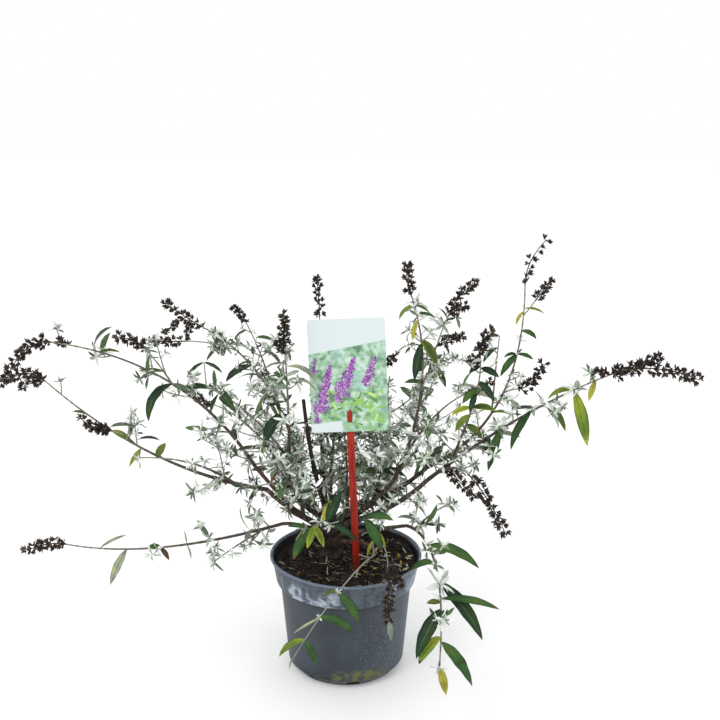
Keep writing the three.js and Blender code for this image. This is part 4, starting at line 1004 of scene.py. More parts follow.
class Mass:
    """One mass of the crown as the rule grows it."""

    def __init__(self, index: int, branch: Branch, room: Room) -> None:
        """Start with the branch's own row of chances.

        Args:
            index: the mass's number, which seeds its chances.
            branch: what it is grown from.
            room: who fills which space.
        """
        self.index, self.branch, self.room = index, branch, room
        self.draws = 0
        self.stems: list[tuple[Limb, Shoot]] = []
        self.twigs: list[Limb] = []
        self.tufts: list[Tuft] = []
        self.old_leaves: list[OldLeaf] = []
        self.heads: list[Limb] = []

    def draw(self) -> float:
        """The next chance: the fraction of a tall sine of the seed and the count.

        Returns:
            A number from 0 to 1.
        """
        self.draws += 1
        wave = math.sin((FIRST_SEED + self.index) * 12.9898 + self.draws * 78.233) * 43758.5453
        return wave - math.floor(wave)

    def draw_size(self, vary: float) -> float:
        """A share from 1 - vary to 1 + vary."""
        return 1 + (self.draw() * 2 - 1) * vary

    def grow_stems(self, bough: Limb) -> None:
        """The main stem from the bough's tip, and the side shoots from it.

        Args:
            bough: the bough that they carry on.
        """
        main, *sides = self.branch.shoots
        foot = bough.arc.at(1) + bough.arc.heading(1) * GAP
        span = float(np.linalg.norm(foot - np.array(main.tip, float)))
        arc = Arc.bent(foot, main.tip, main.bend)
        stem = Limb(arc, bough.tip_radius, STEM_TIP, math.ceil(span / STEM_STEP))
        self.stems.append((stem, main))
        for side in sides:
            start = stem.axis(side.at)
            steps = math.ceil(float(np.linalg.norm(start - np.array(side.tip, float))) / STEM_STEP)
            radius = stem.radius(side.at) * SIDE_SHARE
            self.stems.append((Limb(Arc.bent(start, side.tip, side.bend), radius, SIDE_TIP, steps), side))
        for limb, _ in self.stems:
            self.room.claim(self.index, limb.balls())

    def grow_heads(self) -> None:
        """A spent seed head past the tip of each stem that has one."""
        for limb, shoot in self.stems:
            if shoot.head is None:
                continue
            reach = np.array(shoot.head, float)
            heading = limb.arc.heading(1)
            start = limb.axis(1) - heading
            size = float(np.linalg.norm(reach))
            head = Limb(Arc(start, start + heading * size / 2, start + reach), 1, 1, 2 * round(size / 14))
            self.heads.append(head)
            at, _ = head.balls()
            self.room.claim(self.index, (at, np.full(len(at), HEAD_RADIUS)))

    def dress(self) -> None:
        """Twigs and old leaves joint by joint on every stem, and a tuft on each bare tip."""
        style = DRESS[self.branch.habit]
        for limb, shoot in self.stems:
            free = limb.arc.length - FIRST_JOINT - LAST_JOINT_CLEAR
            turn = self.draw() * math.pi
            for joint in range(math.floor(free / style.step) + 1):
                share = (FIRST_JOINT + joint * style.step) / limb.arc.length
                self.dress_joint(limb, share, turn + joint * QUARTER, style)
            if shoot.head is None:
                self.add_tuft(limb)

    def dress_joint(self, limb: Limb, share: float, turn: float, style: Dress) -> None:
        """A twig, an old leaf or nothing on each of a joint's two sides.

        Args:
            limb: the stem or shoot.
            share: how far along it the joint is.
            turn: the angle of its first side.
            style: the odds and lengths.
        """
        along = limb.arc.heading(share)
        twig_often, leaf_often = blend(*style.twig, share), blend(*style.old_leaf, share)
        for side in (0, math.pi):
            across = around(along, turn + side)
            pick = self.draw()
            if pick < twig_often:
                length = blend(*style.length, share**0.55) * self.draw_size(0.3)
                self.add_twig(limb, share, unit(across + along * 0.55), length)
            elif pick < twig_often + leaf_often:
                heading = unit(across + along * 0.5 + UP * 0.25)
                root = limb.axis(share) - heading * 0.6 * limb.radius(share)
                leaf = OldLeaf(root, heading, self.draw_size(0.2))
                if self.room.is_clear(self.index, leaf.balls(), True):
                    self.room.claim(self.index, leaf.balls(), True)
                    self.old_leaves.append(leaf)

    def add_twig(self, limb: Limb, share: float, outward: Array, length: float) -> None:
        """A straight twig with a tuft at its tip, where there is room.

        Args:
            limb: the stem or shoot.
            share: how far along it the twig starts.
            outward: the twig's heading.
            length: its length.
        """
        start = limb.axis(share)
        tip = start + outward * length + UP * length * 0.22
        twig = Limb(Arc.bent(start, tip, np.zeros(3)), min(0.95, limb.radius(share) * 0.8), 0.65)
        if not self.room.is_clear(self.index, twig.balls(0.12)):
            return
        self.room.claim(self.index, twig.balls(0.12))
        self.twigs.append(twig)
        self.add_tuft(twig)

    def add_tuft(self, limb: Limb) -> None:
        """A tuft round a limb's tip, where there is room.

        Args:
            limb: the stem or shoot.
        """
        axis = limb.arc.heading(1)
        turn = self.draw() * 2 * math.pi
        lengths = np.array([TUFT_LENGTH * self.draw_size(0.22) for _ in range(TUFT_RAYS)])
        tuft = Tuft(limb.axis(1) + around(axis, turn) * 1.3, axis, turn, lengths)
        if self.room.is_clear(self.index, tuft.balls(), True):
            self.room.claim(self.index, tuft.balls(), True)
            self.tufts.append(tuft)


@dataclass(frozen=True)
class Place:
    """A turned and moved frame: world = turn @ local + origin."""

    turn: Array
    origin: Array

    def world(self, points: Array) -> Array:
        """Points of this frame, in the plant's frame."""
        return points @ self.turn.T + self.origin

    def local(self, points: Array) -> Array:
        """Points of the plant's frame, in this frame."""
        return (points - self.origin) @ self.turn

    def within(self, points: Array, centre: Array, half: Array,
               reach: Array | float) -> Array:
        """Whether points come nearer than their reach to a box that stands in this frame."""
        over = np.maximum(0, np.abs(self.local(points) - centre) - half)
        return np.linalg.norm(over, axis=-1) < reach


def touches_pot(at: Array, reach: Array | float) -> Array:
    """Whether points come nearer than their reach to the rim, the wall or the compost.

    Args:
        at: the points, as (..., 3).
        reach: how near is too near.

    Returns:
        True for each point that is too near.
    """
    out = np.hypot(at[..., 0], at[..., 1])
    floor = np.where(out > BORE_RADIUS - reach, RIM_TOP, SOIL_TOP) + reach
    return (out <= RIM_RADIUS + reach) & (at[..., 2] < floor)


class Frames:
    """The label's two frames: the stick, which leans, and the card that hangs on it."""

    CROSSING = 208  # how far up the stick the card hangs
    CARD_MIDDLE = 48.5  # how far the card's middle lies up its own frame
    CARD_HALF = np.array([45, 0.4, 67.5])
    STICK_HALF = np.array([4.75, 0.6, 104])
    # The space before each, as the middle and the half sizes of a box in its frame.
    CARD_VIEW = (np.array([0, -60, 48.0]), np.array([42, 60, 64.0]))
    STICK_VIEW = (np.array([0, -60, 118.0]), np.array([8, 60, 84.0]))
    STICK = Place(turn_x(5) @ turn_y(-2.2), np.array([14, -24, SOIL_TOP]))
    CARD = Place(STICK.turn @ turn_x(-8.2), STICK.world(np.array([0.0, 0.0, CROSSING])))

    @classmethod
    def touches(cls, at: Array, reach: Array | float) -> Array:
        """Whether points come nearer than their reach to the card or the stick.

        Args:
            at: the points, as (..., 3).
            reach: how near is too near.

        Returns:
            True for each point that is too near.
        """
        card = cls.CARD.within(at, np.array([0, 0, cls.CARD_MIDDLE]), cls.CARD_HALF, reach)
        stick = cls.STICK.within(at, np.array([0, 0, cls.STICK_HALF[2]]), cls.STICK_HALF, reach)
        return card | stick


class Skeleton:
    """The limbs and masses of the whole plant, grown by the rule."""

    def __init__(self) -> None:
        """Grow the limbs, then all stems, then all heads, and then dress mass after mass."""
        trunk_arc = Arc.bent(np.array([-18, 20, 136.3]), np.array([-25, 15, 190]), np.array([2, 0, 0]))
        self.limbs: dict[str, Limb] = {"trunk": Trunk(trunk_arc, 9.5, 7.5, 8)}
        specs = [(f"bough_{branch.name}", branch.bough) for branch in BRANCHES]
        for name, spec in [*specs, ("dead_stub", DEAD_STUB)]:
            start = self.limbs[spec.on].axis(spec.at)
            self.limbs[name] = Limb(Arc.bent(start, spec.tip, spec.bend), *spec.radii, steps=3)
        self.room = Room([touches_pot, Frames.touches])
        for order, limb in enumerate(self.limbs.values()):
            self.room.claim(-1 - order, limb.balls())
        self.masses = [Mass(i, branch, self.room) for i, branch in enumerate(BRANCHES)]
        for mass in self.masses:
            mass.grow_stems(self.limbs[f"bough_{mass.branch.name}"])
        for mass in self.masses:
            mass.grow_heads()
        for mass in self.masses:
            mass.dress()


# ---- Finishes --------------------------------------------------------------------------------


class Wire:
    """A number that a shader node gives, so that node sums are written as Python sums."""

    def __init__(self, paint: "Paint", socket: NodeSocket) -> None:
        """Wrap a node's output."""
        self.paint, self.socket = paint, socket

    def sum(self, operation: str, first: "Wire | float", second: "Wire | float") -> "Wire":
        """One Math node on two values."""
        node = self.paint.node("ShaderNodeMath", {"operation": operation}, {0: first, 1: second})
        return Wire(self.paint, node.outputs[0])

    def __add__(self, other: "Wire | float") -> "Wire":
        """This plus another."""
        return self.sum("ADD", self, other)

    __radd__ = __add__

    def __mul__(self, other: "Wire | float") -> "Wire":
        """This times another."""
        return self.sum("MULTIPLY", self, other)

    __rmul__ = __mul__

    def __sub__(self, other: "Wire | float") -> "Wire":
        """This less another."""
        return self.sum("SUBTRACT", self, other)

    def __rsub__(self, other: "Wire | float") -> "Wire":
        """Another less this."""
        return self.sum("SUBTRACT", other, self)

    def over(self, low: float, high: float) -> "Wire":
        """From 0 at low to 1 at high, held at both ends and eased between.

        Args:
            low: where the rise starts.
            high: where it ends.

        Returns:
            The eased number.
        """
        settings = {"interpolation_type": "SMOOTHSTEP"}
        node = self.paint.node("ShaderNodeMapRange", settings, {0: self, 1: low, 2: high, 3: 0.0, 4: 1.0})
        return Wire(self.paint, node.outputs[0])


class Paint:
    """A material and the nodes that feed it."""

    def __init__(self, name: str, colour: Colour, roughness: float, **sockets: float) -> None:
        """Make the material with plain values.

        Args:
            name: the finish's name.
            colour: the base colour.
            roughness: from 0, a mirror, to 1, matt.
            **sockets: other values of the shader, by name with underscores for spaces.
        """
        self.material = bpy.data.materials.new(name)
        self.material.use_nodes = True
        self.tree = self.material.node_tree
        self.shader = self.tree.nodes["Principled BSDF"]
        self.shader.inputs["Base Color"].default_value = (*colour, 1)
        self.shader.inputs["Roughness"].default_value = roughness
        for socket, value in sockets.items():
            self.shader.inputs[socket.replace("_", " ")].default_value = value

    def node(self, kind: str, settings: dict, inputs: dict) -> bpy.types.Node:
        """Add a node.

        Args:
            kind: the node's type.
            settings: its properties, and "stops" for a ramp's (place, colour) pairs.
            inputs: values or links for its sockets, by name or number.

        Returns:
            The node.
        """
        node = self.tree.nodes.new(kind)
        for name, value in settings.items():
            if name == "stops":
                self.set_stops(node.color_ramp, value)
            else:
                setattr(node, name, value)
        for key, value in inputs.items():
            self.feed(node.inputs[key], value)
        return node

    @staticmethod
    def set_stops(ramp: bpy.types.ColorRamp, stops: list[tuple[float, Colour]]) -> None:
        """Give a ramp its colours at their places.

        Args:
            ramp: the ramp.
            stops: its places and colours.
        """
        while len(ramp.elements) < len(stops):
            ramp.elements.new(0.5)
        for element, (place, colour) in zip(ramp.elements, stops):
            element.position = place
            element.color = (*colour, 1)

    def feed(self, socket: NodeSocket, value: object) -> None:
        """Link a socket to a wire or an output, or set its value.

        Args:
            socket: the socket.
            value: a wire, an output, a colour or a number.
        """
        if isinstance(value, Wire):
            self.tree.links.new(value.socket, socket)
        elif isinstance(value, NodeSocket):
            self.tree.links.new(value, socket)
        elif isinstance(value, tuple) and len(value) == 3 and socket.type == "RGBA":
            socket.default_value = (*value, 1)
        else:
            socket.default_value = value

    def place(self, stretch: tuple = (1, 1, 1), kind: str = "Object") -> NodeSocket:
        """The place on the piece, stretched along each axis."""
        source = self.node("ShaderNodeTexCoord", {}, {}).outputs[kind]
        return self.node("ShaderNodeMapping", {}, {"Vector": source, "Scale": stretch}).outputs[0]

    def axis(self, name: str, kind: str = "Object") -> Wire:
        """One coordinate of the place on the piece."""
        source = self.node("ShaderNodeTexCoord", {}, {}).outputs[kind]
        return Wire(self, self.node("ShaderNodeSeparateXYZ", {}, {0: source}).outputs[name])

    def noise(self, scale: float, detail: float = 3, stretch: tuple = (1, 1, 1),
              kind: str = "Object") -> Wire:
        """Cloudy noise from 0 to 1."""
        inputs = {"Vector": self.place(stretch, kind), "Scale": scale, "Detail": detail}
        return Wire(self, self.node("ShaderNodeTexNoise", {}, inputs).outputs[0])

    def mix(self, factor: Wire | float, first: object, second: object) -> NodeSocket:
        """The first colour where the factor is 0, and the second where it is 1."""
        settings = {"data_type": "RGBA"}
        return self.node("ShaderNodeMix", settings, {0: factor, 6: first, 7: second}).outputs[2]

    def bump(self, height: Wire, strength: float, distance: float) -> None:
        """Relief from a height, with the distance in metres for a height of one."""
        inputs = {"Height": height, "Strength": strength, "Distance": distance}
        self.feed(self.shader.inputs["Normal"], self.node("ShaderNodeBump", {}, inputs).outputs[0])

    def colour(self, value: NodeSocket) -> None:
        """Feed the base colour."""
        self.feed(self.shader.inputs["Base Color"], value)

    def roughness(self, value: Wire) -> None:
        """Feed the roughness."""
        self.feed(self.shader.inputs["Roughness"], value)


@dataclass(frozen=True)
class PotPlastic:
    """Dull slate plastic: a pale dusty film on the collar, green algae at the foot, scuffs all over, a
    painted shadow under the collar's step and a painted highlight along the rim.
    """

    base: Colour = (0.026, 0.038, 0.053)
    deep: Colour = (0.014, 0.021, 0.030)
    # The dust colour also paints the highlight along the rim.
    dust: Colour = (0.15, 0.195, 0.25)
    chalk: Colour = (0.40, 0.47, 0.58)
    algae: Colour = (0.115, 0.125, 0.022)
    # The soil colour also paints the shadow in the step under the collar.
    soil: Colour = (0.005, 0.004, 0.0035)
    scuffed: Colour = (0.016, 0.019, 0.024)

    def material(self) -> Material:
        """Layer the colours by height, by side and by noise.

        Each layer is a share from 0 to 1, multiplied up from bands of height and side in
        metres, which are eased at their ends, and from noise.

        Returns:
            The material.
        """
        paint = Paint("pot_plastic", self.base, 0.5)
        z, x, y = (paint.axis(name) for name in "ZXY")
        cloud, fine = paint.noise(26, 5), paint.noise(230, 4)
        streak = paint.noise(60, 3, (1, 1, 0.12))
        body = paint.mix(cloud.over(0.35, 0.68), self.deep, self.base)
        collar = z.over(0.1135, 0.1155)
        thick = 0.03 + x.over(-0.02, 0.075) * 0.17 + 0.34 * collar
        film = (streak * 0.6 + fine * 0.55).over(0.38, 0.72) * thick
        body = paint.mix(film, body, self.dust)
        side = (0.0 - x - y * 0.25).over(0.015, 0.035) * (0.083 + x).over(0.0, 0.012)
        blots = paint.noise(120, 4).over(0.38, 0.60)
        patch = paint.noise(46, 4, (1, 1, 0.6)).over(0.40, 0.60) * collar * side * blots
        patch = patch * (0.141 - z).over(0, 0.012)
        body = paint.mix(patch * 0.8, body, self.chalk)
        smear = (x - 0.045).over(0, 0.02) * paint.noise(38, 3, (1, 1, 0.8)).over(0.45, 0.62) * collar
        body = paint.mix(smear * 0.45, body, self.chalk)
        drops = paint.noise(430, 2).over(0.60, 0.66) * (x - 0.004).over(0, 0.03) * (0.105 - z).over(0, 0.03)
        body = paint.mix(drops * 0.6, body, self.dust)
        # Painted shadow: a dark line in the soil colour, in the step just below the collar.
        painted_collar_shadow = z.over(0.1085, 0.1130) * (0.1148 - z).over(0.0, 0.0012)
        body = paint.mix(painted_collar_shadow * 0.75, body, self.soil)
        # Painted highlight: a pale line along the top of the rim, in the dust colour.
        body = paint.mix(z.over(0.1450, 0.1462) * 0.7, body, self.dust)
        band = (0.027 - z).over(0.0, 0.007) * z.over(0.001, 0.006) * (0.0 - y).over(-0.01, 0.02)
        growth = band * (x + 0.026).over(0, 0.02) * (0.060 - x).over(0, 0.025)
        growth = growth * paint.noise(110, 5).over(0.42, 0.56)
        body = paint.mix(growth * 0.85, body, self.algae)
        grime = (0.022 - z).over(0.0, 0.014) * paint.noise(140, 4).over(0.50, 0.56)
        body = paint.mix(grime * ((0.0 - x).over(0.0, 0.03) * 0.65 + 0.3), body, self.soil)
        splash = paint.noise(150, 3).over(0.66, 0.72) * (0.1 + 0.5 * (0.03 - z).over(0.0, 0.03))
        body = paint.mix(splash, body, self.soil)
        scuff = paint.noise(95, 2, (1, 1, 2.6)).over(0.60, 0.72) * z.over(0.03, 0.09) * 0.55
        paint.colour(paint.mix(scuff, body, self.scuffed))
        paint.roughness(0.36 + 0.25 * cloud + 0.18 * film)
        paint.bump(cloud * 0.6 + fine * 0.25, 0.35, 0.0012)
        return paint.material


@dataclass(frozen=True)
class PotInsideShade:
    """The pot's inner wall and the backs of the drain notches: plastic painted near black as shade, smeared
    with soil.
    """

    # Painted shade: the near black of the shaded inside of the pot.
    plastic: Colour = (0.009, 0.010, 0.013)
    smear: Colour = (0.024, 0.019, 0.014)

    def material(self) -> Material:
        """Mix the two colours by noise.

        Returns:
            The material.
        """
        paint = Paint("pot_inside", self.plastic, 0.5, Specular_IOR_Level=0.3)
        smears = paint.noise(95, 4)
        paint.colour(paint.mix(smears.over(0.46, 0.62), self.plastic, self.smear))
        paint.roughness(0.42 + 0.4 * smears)
        paint.bump(smears, 0.4, 0.0008)
        return paint.material


@dataclass(frozen=True)
class Bark:
    """Thin stringy bark: two browns along the grain, with pale flakes or felt in patches."""

    name: str
    dark: Colour
    light: Colour
    flake: Colour
    grain: Triple = (1, 1, 0.12)
    flakes: float = 0.5

    def material(self) -> Material:
        """Mix the browns by noise drawn out along the limb.

        Returns:
            The material.
        """
        paint = Paint(self.name, self.light, 0.85)
        strings = paint.noise(420, 4, self.grain)
        patches = paint.noise(70, 3)
        body = paint.mix(strings.over(0.36, 0.62), self.dark, self.light)
        flaking = (strings * 0.5 + patches * 0.6).over(0.56, 0.70) * self.flakes
        paint.colour(paint.mix(flaking, body, self.flake))
        paint.roughness(0.72 + 0.22 * patches)
        paint.bump(strings, 0.6, 0.0009)
        return paint.material


@dataclass(frozen=True)
class Compost:
    """Near-black crumbs with brown fibres and a few pale grains."""

    dark: Colour = (0.0028, 0.0023, 0.0019)
    brown: Colour = (0.010, 0.007, 0.005)
    grain: Colour = (0.10, 0.075, 0.045)

    def material(self) -> Material:
        """Mix the colours by fine noise.

        Returns:
            The material.
        """
        paint = Paint("compost_crumbs", self.dark, 0.95)
        crumbs, grains = paint.noise(260, 5), paint.noise(900, 2)
        body = paint.mix(crumbs.over(0.42, 0.68), self.dark, self.brown)
        paint.colour(paint.mix(grains.over(0.68, 0.74), body, self.grain))
        paint.roughness(0.78 + 0.2 * crumbs)
        paint.bump(crumbs + grains * 0.4, 0.9, 0.002)
        return paint.material


@dataclass(frozen=True)
class StickPlastic:
    """Clear red plastic with a faint grain along the stick and soil at its foot."""

    red: Colour = (0.40, 0.022, 0.004)
    deep: Colour = (0.22, 0.008, 0.003)
    soil: Colour = (0.05, 0.03, 0.02)

    def material(self) -> Material:
        """Mix two reds along the grain, and soil low down.

        Returns:
            The material.
        """
        paint = Paint("stick_plastic", self.red, 0.38, Specular_IOR_Level=0.25)
        grain = paint.noise(300, 3, (1, 1, 0.08))
        body = paint.mix(grain.over(0.35, 0.65), self.deep, self.red)
        low = (0.162 - paint.axis("Z")).over(0.0, 0.022)
        paint.colour(paint.mix(low * paint.noise(400, 3).over(0.40, 0.60), body, self.soil))
        paint.roughness(0.30 + 0.25 * grain)
        paint.bump(grain, 0.3, 0.0004)
        return paint.material


@dataclass(frozen=True)
class CardPrint:
    """A plain garden print: white bands, and out-of-focus leaves in green and teal between."""

    white: Colour = (0.63, 0.70, 0.71)
    mist: Colour = (0.36, 0.56, 0.52)
    lawn: Colour = (0.25, 0.49, 0.17)
    header_left: float = 0.696
    header_right: float = 0.804
    edge: float = 0.003

    def material(self) -> Material:
        """Lay soft green clouds, and the two white bands over them, by the card's own map.

        Returns:
            The material.
        """
        paint = Paint("card_print", self.white, 0.32)
        across, up = paint.axis("X", "UV"), paint.axis("Y", "UV")
        clouds = paint.noise(5, 2, (1, 1.5, 1), "UV")
        leaves = paint.noise(13, 3, (1, 1.5, 1), "UV")
        stops = [(0.30, (0.04, 0.10, 0.05)), (0.42, (0.12, 0.27, 0.14)), (0.52, (0.27, 0.46, 0.30)),
                 (0.62, (0.45, 0.62, 0.50)), (0.76, (0.64, 0.72, 0.69))]
        ramp = paint.node("ShaderNodeValToRGB", {"stops": stops}, {0: clouds * 0.6 + leaves * 0.7 - 0.12})
        haze = paint.noise(3.4, 1, (1, 1, 1), "UV").over(0.48, 0.66) * 0.5
        teal = paint.mix(haze, ramp.outputs[0], self.mist)
        low = paint.noise(11, 3, (1, 1.1, 1), "UV").over(0.46, 0.60) * (0.40 - up).over(0.0, 0.25)
        garden = paint.mix(low * 0.7, teal, self.lawn)
        slope = self.header_right - self.header_left
        header = (up - across * slope).over(self.header_left - self.edge, self.header_left + self.edge)
        below = (0.075 + across * 0.07 - up).over(-self.edge, self.edge)
        banner = (0.40 - across).over(-self.edge, self.edge) * below
        paint.colour(paint.mix(header + banner, garden, self.white))
        paint.roughness(0.26 + 0.16 * leaves)
        paint.bump(paint.noise(3, 1, (1, 1, 1), "UV"), 0.1, 0.002)
        return paint.material


@dataclass(frozen=True)
class LeafSkin:
    """An old leaf's skin: its tone, dull in some places and riper in others."""

    name: str
    tone: Colour
    dulling: float = 0.62
    ripening: Colour = (1.7, 1.3, 0.85)
    palest: float = 0.42

    def material(self) -> Material:
        """Mix the dull, the plain and the ripe shade by clouds, with fine veins over them.

        Returns:
            The material.
        """
        paint = Paint(self.name, self.tone, 0.6, Specular_IOR_Level=0.22)
        clouds, veins = paint.noise(42, 3), paint.noise(420, 3)
        dull = tuple(self.dulling * part for part in self.tone)
        ripe = tuple(min(self.palest, part * gain) for part, gain in zip(self.tone, self.ripening))
        body = paint.mix(clouds.over(0.38, 0.52), dull, self.tone)
        body = paint.mix(clouds.over(0.51, 0.66), body, ripe)
        paint.colour(paint.mix(veins.over(0.45, 0.62) * 0.3, body, dull))
        paint.roughness(0.5 + 0.25 * veins)
        paint.bump(veins, 0.3, 0.0004)
        return paint.material


@dataclass(frozen=True)
class Flat:
    """One tone of a finish whose tones are dealt out piece by piece."""

    name: str
    colour: Colour
    roughness: float = 0.8
    felt: float = 0.0

    def material(self) -> Material:
        """A plain material, with the soft sheen of felt where it has some.

        Returns:
            The material.
        """
        paint = Paint(self.name, self.colour, self.roughness, Sheen_Weight=self.felt, Sheen_Roughness=0.5)
        paint.shader.inputs["Specular IOR Level"].default_value = 0.22
        return paint.material


def tones(prefix: str, colours: list[Colour], roughness: float,
          felt: float = 0.0) -> list[Material]:
    """A material for each of a row of colours."""
    return [Flat(f"{prefix}_{i}", colour, roughness, felt).material() for i, colour in enumerate(colours)]


# ---- Pot, compost and label ------------------------------------------------------------------


def filleted(corners: list[Triple], steps: int = 5) -> Array:
    """A line through (across, up) corners, each rounded by its own radius.

    A rounded corner is the curve a(1-t)^2 + 2b t(1-t) + c t^2, where b is the corner and a and
    c lie its radius away along the two sides, but never past a side's middle.

    Args:
        corners: across, up and radius of each corner.
        steps: how many lines make a rounded corner.

    Returns:
        The line's points, as rows of across and up.
    """
    points = np.array([corner[:2] for corner in corners], float)
    line = [points[0]]
    share = np.linspace(0, 1, steps + 1)[:, None]
    for before, corner, after, (_, _, radius) in zip(points, points[1:], points[2:], corners[1:]):
        legs = [before - corner, after - corner]
        ends = [corner + leg * min(0.5, radius / np.linalg.norm(leg)) for leg in legs]
        curve = ends[0] * (1 - share) ** 2 + corner * 2 * share * (1 - share) + ends[1] * share**2
        line.extend(curve if radius > 0 else [corner])
    return np.array([*line, points[-1]])


def rounded_box(half: float, low: float, high: float, radius: float) -> Array:
    """A box's outline with rounded corners, once round from the middle of its lower side.

    Args:
        half: half its width; below 0 the outline goes round the other way.
        low: its lower side.
        high: its upper side.
        radius: the radius of its corners.

    Returns:
        The outline's points, as rows of across and up.
    """
    corners = [(half, low, radius), (half, high, radius), (-half, high, radius), (-half, low, radius)]
    return filleted([(0, low, 0), *corners, (0, low, 0)], 4)[:-1]


def new_piece(name: str, points: Array, faces: list, material: Material) -> Object:
    """A smooth mesh piece from points in millimetres.

    Args:
        name: the piece's name.
        points: its points, as rows.
        faces: the numbers of each face's points.
        material: its finish.

    Returns:
        The object, linked to the scene.
    """
    mesh = bpy.data.meshes.new(name)
    mesh.from_pydata((points * MM).tolist(), [], faces)
    mesh.polygons.foreach_set("use_smooth", np.ones(len(mesh.polygons), bool))
    mesh.materials.append(material)
    mesh.update()
    return link(name, mesh)


def finish_modifiers(piece: Object) -> None:
    """Turn a piece's live modifiers into its mesh, and drop them.

    Args:
        piece: the object to finish.
    """
    graph = bpy.context.evaluated_depsgraph_get()
    done = bpy.data.meshes.new_from_object(piece.evaluated_get(graph), depsgraph=graph)
    piece.modifiers.clear()
    piece.data = done


def hide_sharp(piece: Object, degrees: float = 35) -> None:
    """Shade a piece smooth, apart from edges that turn by more than the angle."""
    piece.data.shade_smooth()
    piece.data.set_sharp_from_angle(angle=math.radians(degrees))


@dataclass
class Pot:
    """The round nursery pot: a turned wall, dented at one side of its rim, with drain notches."""

    # The painted shade of the inner wall starts this many rings past the profile's highest one.
    LIP = 10  # how many rings of the profile run from its highest one to the inner wall

    sides: int = 192
    dent: float = 0.046
    dent_bearing: float = 232
    dent_spread: float = 34
    drains: int = 8
    drain_turn: float = 8
    drain_half: float = 8.4
    drain_corner: float = 0.35
    drain_foot: float = -3
    drain_depths: Pair = (64.2, 86)
    out_of_round: float = 0.0016

    def profile(self) -> Array:
        """The wall from the middle of its underside, round the rim, to the middle of its floor.

        Returns:
            Rows of across and up.
        """
        return filleted([
            (0, 0.6, 0), (52, 0.6, 1), (54, 0, 0.6), (64, 0, 0.8), (73, 10, 1.2), (81.9, 112.6, 0.8),
            (82.6, 114.3, 0.7), (86.6, 115.1, 0.9), (87.3, 117.2, 0.8), (91.9, 143.6, 0.7), (92.6, 145, 0.7),
            (94.9, 145.2, 0.8), (95, 147.9, 1.1), (92.2, 148, 1), (91.1, 145.4, 1), (85.5, 116.2, 1),
            (80.5, 114.8, 1), (71.5, 10, 3), (62.5, 2, 2), (0, 2, 0),
        ])

    def squeeze(self, points: Array) -> Array:
        """Push points in at the dent: by dent times height cubed times a bell of the bearing.

        Args:
            points: the points, as (..., 3).

        Returns:
            The pushed points.
        """
        bearing = np.degrees(np.arctan2(points[..., 1], points[..., 0]))
        away = (bearing - self.dent_bearing) % 360
        away = (away + 180) % 360 - 180
        height = np.clip(points[..., 2] / RIM_TOP, 0, 1)
        scale = 1 - self.dent * height**3 * np.exp(-((away / self.dent_spread) ** 2))
        return points * np.stack([scale, scale, np.ones_like(scale)], axis=-1)

    def build(self) -> None:
        """Turn the profile, dent it, and cut the notches.

        The wall is slightly out of round: its radius is drawn in by a small share times
        sin(2 angle) times height.
        """
        line = self.profile()
        angle = circle(self.sides)
        inner = line[1:-1]
        wall = np.stack([
            inner[:, :1] * np.cos(angle),
            inner[:, :1] * np.sin(angle),
            np.repeat(inner[:, 1:], self.sides, 1),
        ], axis=-1)
        wobble = 1 + self.out_of_round * np.sin(2 * angle + 0.8) * (inner[:, 1:] / RIM_TOP)
        wall[..., :2] *= np.minimum(wobble, 1)[..., None]
        points = np.concatenate([wall.reshape(-1, 3), [[0, 0, line[0, 1]], [0, 0, line[-1, 1]]]])
        weave = ring_weave(len(inner), self.sides)
        faces = [*weave.quads.tolist(), *weave.tris.tolist()]
        shell = new_piece("pot_shell", self.squeeze(points), faces, PotPlastic().material())
        shell.data.materials.append(PotInsideShade().material())
        # Painted shade: the inner wall below the lip and the middle of the floor take the near-black second
        # finish.
        inside = weave.quad_zones > np.argmax(inner[:, 1]) + self.LIP
        slots = np.concatenate([inside, np.zeros(self.sides), np.ones(self.sides)])
        shell.data.polygons.foreach_set("material_index", slots.astype(np.int32))
        cutter = self.cutter()
        cut = shell.modifiers.new("drains", "BOOLEAN")
        cut.operation, cut.object, cut.solver = "DIFFERENCE", cutter, "EXACT"
        finish_modifiers(shell)
        bpy.data.objects.remove(cutter)
        hide_sharp(shell, 40)
        settle(shell, "pot", "pot")

    def cutter(self) -> Object:
        """The notches' shapes, in one piece: bars with a rounded roof, set round the foot.

        The roof goes through half width times (cos a, (sin a)^corner), for a from 0 to pi. All
        faces have the number of the pot's second finish, the painted shade, which the cut's faces
        take over, so that the notches' backs are painted near black as shade.

        Returns:
            The bars, to be taken away once the cut is made.
        """
        angle, half = np.linspace(0, math.pi, 9), self.drain_half
        roof = np.stack([half * np.cos(angle), half * np.sin(angle) ** self.drain_corner], axis=-1)
        outline = np.concatenate([[[half, self.drain_foot]], roof, [[-half, self.drain_foot]]])
        count = len(outline)
        shape = np.concatenate([
            np.stack([outline[:, 0], np.full(count, depth), outline[:, 1]], axis=-1)
            for depth in self.drain_depths
        ])
        points, faces = [], []
        for i in range(self.drains):
            turn = math.radians(self.drain_turn) + i * 2 * math.pi / self.drains
            c, s = math.cos(turn), math.sin(turn)
            first = i * 2 * count
            points.append(shape @ np.array([[c, s, 0], [-s, c, 0], [0, 0, 1]]))
            ring = np.arange(count)
            after = (ring + 1) % count
            faces += (np.stack([ring, ring + count, after + count, after], axis=-1) + first).tolist()
            faces += [(ring + first).tolist(), (ring[::-1] + count + first).tolist()]
        cutter = new_piece("drain_cutter", np.concatenate(points), faces, bpy.data.materials.new("unused"))
        cutter.data.materials.append(cutter.data.materials[0])
        # Painted shade: the notches' cut faces take the pot's near-black second finish.
        cutter.data.polygons.foreach_set("material_index", np.ones(len(faces), np.int32))
        return cutter


